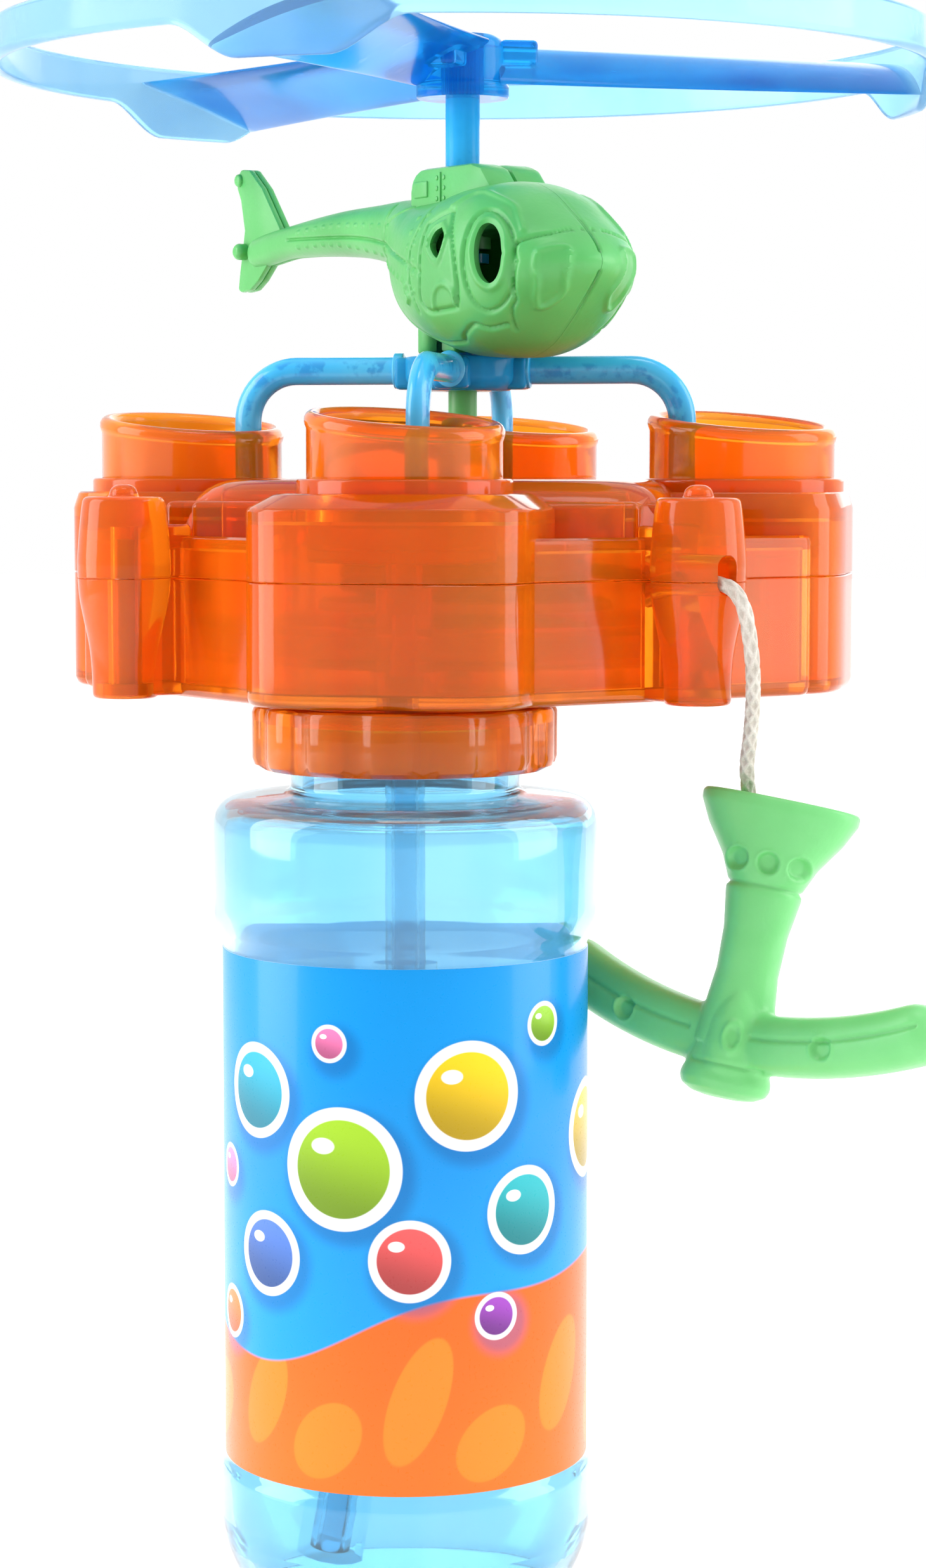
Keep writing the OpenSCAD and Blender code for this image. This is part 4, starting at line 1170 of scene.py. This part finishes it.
WINDOW = [(23, 164.1), (22.8, 162.3), (22.1, 161), (21.1, 160.5), (20.1, 161.1), (19.4, 162.4), (19, 164.3),
          (18.9, 166.1), (19.1, 167.5), (19.9, 167.9), (21.1, 167.4), (22.3, 166)]
DOOR_WINDOW = [(12.1, 167.8), (13.1, 166.4), (12.1, 164), (10.3, 165.5), (10.8, 167.2)]


def around(points, grow):
    """The same outline, a little larger."""
    x = sum(p[0] for p in points) / len(points)
    z = sum(p[1] for p in points) / len(points)
    return [(a + grow * (a - x) / math.hypot(a - x, b - z), b + grow * (b - z) / math.hypot(a - x, b - z))
            for a, b in points]


GROOVES = [(0.28,
            drawn([(24.7, 163.1), (23.8, 160.1), (21.9, 158), (19.9, 157.2), (18.5, 158.1), (17.7, 160.3),
                   (17.2, 163.4), (17.3, 166.5), (17.7, 168.8), (18.9, 169.6), (21.2, 168.6),
                   (23.5, 166.2)], True)),
           (0.26,
            drawn([(8.5, 168.4), (8.1, 165), (8.1, 161.9), (7.7, 159.4), (8.2, 158.2), (9.5, 157.5),
                   (14.6, 157.8), (15.5, 158.2), (16, 160.9), (15.2, 165), (13.4, 169.2), (12.6, 169.8),
                   (10.8, 169.4)], True)),
           (0.24,
            drawn([(-39.3, 169.3), (-24.9, 168.8), (-17.8, 168.2), (-12.8, 167.4), (-5.5, 166.2),
                   (0.7, 164.8), (8.1, 162.4)])),
           (0.26, drawn([(-10.8, 172.2), (-11.1, 170.5), (-11.5, 168.4), (-11.9, 166), (-11.6, 164.4)])),
           (0.22, drawn([(-3.1, 171.6), (-5.6, 170.8), (-8.4, 170.2), (-11.1, 169.6)])),
           (0.3,
            drawn([(-3.2, 161.2), (-0.4, 157.5), (3.4, 155.2), (6.9, 153.9), (11.9, 153.7), (13.6, 154.5),
                   (14.9, 155), (16.8, 155.7), (18.4, 155.2), (20.6, 155.6)])),
           (0.26, drawn([(24.3, 165.4), (24.1, 162), (23.5, 158.8), (22.3, 157.3), (20.8, 155)])),
           (0.24, drawn([(24.3, 165.4), (25.5, 166), (26.6, 166.5), (27, 167), (27.1, 167.1)])),
           (0.22, drawn([(6.6, 170.8), (6.2, 168), (5.2, 165), (5.2, 161.5), (6.4, 157.6)]))]
RIDGES = [(0.3, drawn(around(WINDOW, 0.55), True)),
          (0.28,
           drawn([(10.6, 157.9), (11.1, 159.5), (12.3, 160.6), (13.7, 160.7), (15, 159.8), (15.3, 158.1)])),
          (0.3,
           drawn([(26.8, 164.3), (27.9, 164.8), (28.8, 164.5), (29, 162.6), (27.4, 159.9), (25.4, 158.1),
                  (24.5, 157.7), (25, 158.6), (26.4, 161)], True)),
          (0.3,
           drawn([(12, 170.3), (13.7, 171.7), (15.4, 172), (17.2, 171.6), (20.9, 170.1), (23, 168.2),
                  (24.2, 166.9)])), (0.24, drawn([(4.2, 161.2), (3.9, 160.2), (4.6, 159.6), (4, 158.9)])),
          (0.24, drawn(around(DOOR_WINDOW, 0.5), True))]
RIVETS = (rivets([(-36.5, 170.1), (-29.7, 170.4), (-23.7, 170.3), (-13.2, 169.6)], 2.3)
          + rivets([(-36.8, 168.1), (-30, 168.1), (-23.6, 167.6), (-13.6, 165.9)], 2.3)
          + rivets([(7.1, 169.6), (6.2, 166), (6.4, 160)], 1.9)
          + rivets([(4.2, 169.4), (4.2, 167), (4.1, 162.6)], 1.9)
          + rivets([(-9.6, 169.4), (-10.2, 165.4)], 1.7)
          + rivets([(-7, 164.6), (-2, 163.2), (3.2, 161.6)], 1.7))


def press_lines(piece, side):
    """Presses the grooves, ridges and rivets into a flank, along the surface's own normals."""
    spots, ways = surface(piece)
    push = np.zeros(len(spots))
    look = spots / MM
    look[:, 1] *= -side

    def reach(points):
        tree = KDTree(len(points))
        for k, p in enumerate(points):
            tree.insert(p, k)
        tree.balance()
        return np.array([tree.find(Vector((p[0], -abs(p[1]), p[2])))[2] for p in look])

    for width, points in GROOVES:
        push -= 0.42 * np.exp(-(reach(points) / width) ** 2)
    for width, points in RIDGES:
        push += 0.34 * np.exp(-(reach(points) / (1.3 * width)) ** 2)
    push += 0.22 * np.clip(1 - (reach(RIVETS) / 0.42) ** 2, 0, 1)
    seam = np.abs(look[:, 1])
    push -= 0.28 * np.clip(1 - (seam - HALF_GAP) / 0.4, 0, 1)
    for k, (x, y, z) in enumerate(look):
        w, low, high, p = hull_at(float(x))
        skin_deep = (abs(y) / max(w, 0.1)) ** p + (abs(2 * z - low - high) / max(high - low, 0.1)) ** p
        if skin_deep < 0.97 or seam[k] < 0.05 or x < -52 or x > 29.8:
            push[k] = 0
    press(piece, spots, ways, push)


HEADING = about_spindle(-45)
COWL = [(-5.4, 167), (-5.4, 173.9), (-4.6, 175.4), (-3, 176.2), (8.4, 176.2), (10.6, 175.6), (12.6, 173.4),
        (12.6, 168)]
FIN = [(-43, 170.2), (-48.6, 177), (-52, 179.7), (-54.2, 179.9), (-55.3, 179), (-55.4, 177.4),
       (-54.4, 175.6), (-53.4, 171.4), (-54, 168.6), (-54.8, 165.4), (-55.2, 163.2), (-54.4, 162.8),
       (-52, 163), (-49.8, 164.2), (-46.6, 166.8)]


def stud(name, corners, steps, spot, side, soft=5):
    """A small turned knob that stands out of a flank."""
    x, y, z = spot
    knob = turned(name, rounded(corners, soft), steps=steps)
    out = Matrix.Rotation(math.radians(-90 * side), 4, "X")
    return move(knob, Matrix.Translation((x * MM, side * y * MM, z * MM)) @ out)


def between(side, near, far):
    """Two depths on one side of the seam, the lower first."""
    return sorted((near * side, far * side))


def mast_way():
    return rod("mast_way", 3.66, 148, 182)


def cabin_shell(name, side):
    """Half of the body with its tail boom: hollow cabin, windows, mast hole and pressed lines."""
    tail, cabin = np.linspace(-52.4, -12, 130), np.linspace(-11.8, 28, 170)
    nose = 28 + 2.25 * np.sin(np.linspace(0.06, math.pi / 2, 14))
    shell = skin(name, hull_rows([*tail, *cabin, *nose], 150, 0, side), wrap=False, angle=60)
    room = skin("cabin_room", hull_rows(np.linspace(-9, 27.5, 40), 40, 1.25, side), wrap=False)
    cut(shell, move(room, Matrix.Translation((0, -side * 0.5 * MM, 0))))
    for outline in (WINDOW, DOOR_WINDOW):
        spots = drawn(outline, True)[:-1:3]
        walls = [[((p.x + 0.75 * (deep + p.y)) * MM, side * deep * MM, p.z * MM) for p in spots]
                 for deep in (5, 15)]
        cut(shell, skin("window_way", walls))
    cut(shell, mast_way())
    press_lines(shell, side)
    alone(shell)
    bpy.ops.object.shade_smooth_by_angle(angle=math.radians(50))
    return shell


def roof_pieces(side):
    """The cowl with its hatch, rib and rivets, and the foot that holds the mast sleeve."""
    cowl = cut(plate("cowling", COWL, *between(side, HALF_GAP, 4.7), 0.8), mast_way())
    low, high = between(side, 4.4, 4.92)
    hatch = block("cowl_hatch", (-4.1, low, 172.5), (-0.9, high, 174.6), 0.24)
    rib = block("cowl_rib", (1.7, low, 170.4), (2.1, high, 175.5), 0.1)
    dome = [(0, 0, 0), (0.34, 0, 0.02), (0.3, 0.16, 0.1), (0, 0.24, 0)]
    dots = [stud("cowl_rivet", dome, 12, (x, 4.66, z), side, 3) for x in (1.1, 2.7)
            for z in (172.2, 173.5, 174.8)]
    low, high = between(side, HALF_GAP, 3.6)
    foot = cut(block("mast_foot", (-5.2, low, 152.8), (3.4, high, 158.6), 0.4), mast_way())
    return [cowl, hatch, rib, *dots, foot]


def tail_pieces(side):
    """The fin, the knob at the end of the boom and the one at the fin's tip."""
    fin = plate("tail_fin", FIN, *between(side, HALF_GAP, 1.0), 0.32)
    knob_line = [(0, 0, 0), (1.15, 0, 0.2), (1.15, 1.5, 0.5), (0.6, 2, 0.3), (0, 2, 0)]
    tip_line = [(0, 0, 0), (0.9, 0, 0.2), (0.9, 0.8, 0.4), (0, 1, 0)]
    return [fin, stud("tail_knob", knob_line, 24, (-53.2, 0.7, 168.4), side),
            stud("fin_knob", tip_line, 20, (-54.6, 0.6, 178.4), side)]


for name, side in (("left", 1), ("right", -1)):
    half = cabin_shell("heli_shell_" + name, side)
    gather(half, *roof_pieces(side), *tail_pieces(side))
    move(half, HEADING)
    finish_piece(half, GREEN, "green_body", "copter", f"heli_{name}_half")


# Pull handle: fused from its limbs, then softened like a moulding

BAR_TURN = 32
BAR_BOW = 66
BAR_HALF = 28.5
BAR_LOW = -29.2


def station_rows(stations, count, power):
    """Rounded sections of (height, half width, half depth), one above the other."""
    rows = []
    for z, a, b in stations:
        row = []
        for k in range(count):
            turn = 2 * math.pi * k / count
            c, s = math.cos(turn), math.sin(turn)
            row.append((a * math.copysign(abs(c) ** (2 / power), c) * MM,
                        b * math.copysign(abs(s) ** (2 / power), s) * MM, z * MM))
        rows.append(row)
    return rows


def bar_spot(x):
    """Height of the bowed crossbar's middle."""
    return BAR_LOW + BAR_BOW - math.sqrt(BAR_BOW ** 2 - x * x)


def bar_rows():
    """Sections of the crossbar, square to its bow, with rounded ends."""
    rows = []
    for i in range(45):
        u = -1 + 2 * i / 44
        x = BAR_HALF * math.copysign(1 - (1 - abs(u)) ** 1.6, u)
        end = (BAR_HALF - abs(x)) / 3.4
        fat = 1 if end >= 1 else max(0.2, math.sqrt(1 - (1 - end) ** 2))
        lean = math.asin(x / BAR_BOW)
        row = []
        for k in range(32):
            a = 2 * math.pi * k / 32
            p = 3.6 * fat * math.copysign(abs(math.cos(a)) ** 0.8, math.cos(a))
            q = 3.4 * fat * math.copysign(abs(math.sin(a)) ** 0.8, math.sin(a))
            row.append(((x - p * math.sin(lean)) * MM, q * MM, (bar_spot(x) + p * math.cos(lean)) * MM))
        rows.append(row)
    return rows


grip = skin("pull_handle_grip",
            station_rows([(0, 9.3, 5.65), (-0.35, 9.6, 5.95), (-1.3, 9.55, 6.1), (-4, 8.2, 5.75),
                          (-7.5, 5.8, 5.2), (-9.4, 4.95, 4.8), (-10.2, 4.6, 4.5), (-11, 4.6, 4.5),
                          (-11.5, 4.6, 4.6), (-16, 3.9, 3.95), (-21, 3.75, 3.85), (-24, 4.1, 4),
                          (-30, 4.7, 4.2)], 48, 2.4))
fuse(grip, move(skin("grip_bar", bar_rows()), Matrix.Rotation(math.radians(-BAR_TURN), 4, "Z")))
fuse(grip,
     skin("grip_foot",
          station_rows([(-36.3, 2, 1.8), (-36, 3.8, 3.2), (-35.3, 5.1, 4.3), (-34.3, 5.6, 4.7),
                        (-33.4, 5.45, 4.6), (-32, 4.75, 4.2), (-30, 4.4, 4.2)], 40, 2.2)))
fuse(grip,
     skin("grip_tongue",
          station_rows([(-34.6, 3.4, 3.9), (-33, 3.9, 4.9), (-30, 3.9, 5.15), (-27, 3.6, 5),
                        (-24.9, 2.9, 4.6), (-23.5, 1.9, 4.2), (-22.6, 0.5, 3.7)], 40, 2.3)))
cut(grip,
    skin("grip_funnel",
         station_rows([(-7.4, 3.45, 2.1), (-4.4, 4.45, 2.7), (-2, 6.95, 4.2), (0.4, 8.5, 5.1)], 40, 2.4)))
cut(grip, rod("cord_way", 1.9, -20, 2, steps=32))
alone(grip)
grip.data.remesh_voxel_size = 0.26 * MM
bpy.ops.object.voxel_remesh()
worked(grip, "SMOOTH", factor=0.5, iterations=5)

inner_corner = grip.vertex_groups.new(name="inner_corner")
for vertex in grip.data.vertices:
    vx, vy, vz = vertex.co / MM
    across = abs(vx * math.cos(math.radians(BAR_TURN)) - vy * math.sin(math.radians(BAR_TURN)))
    weight = math.exp(-((across - 4.8) / 2.2) ** 2) * max(math.exp(-((vz + 25.4) / 2) ** 2),
                                                          math.exp(-((vz + 32.6) / 1.6) ** 2))
    if weight > 0.02:
        inner_corner.add([vertex.index], weight, "REPLACE")
worked(grip, "SMOOTH", factor=0.5, iterations=60, vertex_group=inner_corner.name)


def press_handle(piece):
    """Round dimples on the flare and arms, a waist groove, and a line along the front of the bar."""
    spots, ways = surface(piece)
    x, y, z = (spots / MM).T
    out = np.clip(-ways[:, 1] * 2.2, 0, 1)
    push = np.zeros(len(spots))
    swing = math.radians(BAR_TURN)
    along = x * math.cos(swing) - y * math.sin(swing)
    for cx, cz, r in ((-3.75, -7.9, 1.2), (0, -7.9, 1.2), (3.75, -7.9, 1.2),
                      (-14.5, bar_spot(14.5) - 0.5, 1.25), (14.5, bar_spot(14.5) - 0.5, 1.25)):
        d = np.hypot((along if cz < -15 else x) - cx, z - cz)
        push -= 0.75 * out * (1 / (1 + np.exp((d - r) / 0.09)))
        push += 0.14 * out * np.exp(-((d - r - 0.28) / 0.2) ** 2)
    ring = np.exp(-((z + 10.6) / 0.24) ** 2) * (np.abs(x) < 6)
    push -= 0.42 * ring
    bow = BAR_LOW + BAR_BOW - np.sqrt(np.clip(BAR_BOW ** 2 - along * along, 0, None))
    line = np.exp(-((z - bow - 0.45) / 0.26) ** 2) * out * (np.abs(along) > 4.4) * (np.abs(along) < 26.5)
    push -= 0.42 * line
    push -= 0.3 * np.exp(-((z + 32.3) / 0.2) ** 2) * out * (np.abs(x) < 4.4)
    eye = np.hypot(x / 1.05, (z + 28.9) / 1.7)
    push += (0.3 * np.exp(-((eye - 1) / 0.28) ** 2) - 0.25 * (eye < 0.7)) * out * (np.abs(x) < 3.4)
    press(piece, spots, ways, push)


press_handle(grip)
bpy.ops.object.shade_smooth()
move(grip, GRIP)
finish_piece(grip, GREEN_LIGHT, "green_light", "handle", "pull_handle")


# Pieces that stay as built get their finish

for node, material in {"bubble_solution": LIQUID, "neck_seal": WHITE, "feed_manifold": ORANGE,
                       "drum_screws": STEEL, "recoil_spring": STEEL, "cord_reel": WHITE,
                       "mast_sleeve": GREEN, "shaft_clip": BLUE_ARM}.items():
    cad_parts[node].data.materials.clear()
    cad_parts[node].data.materials.append(material)

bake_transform(pull_cord)
round(free_length * MM, 4)
[p * MM for p in free_line[::6]] + [free_line[-1] * MM]
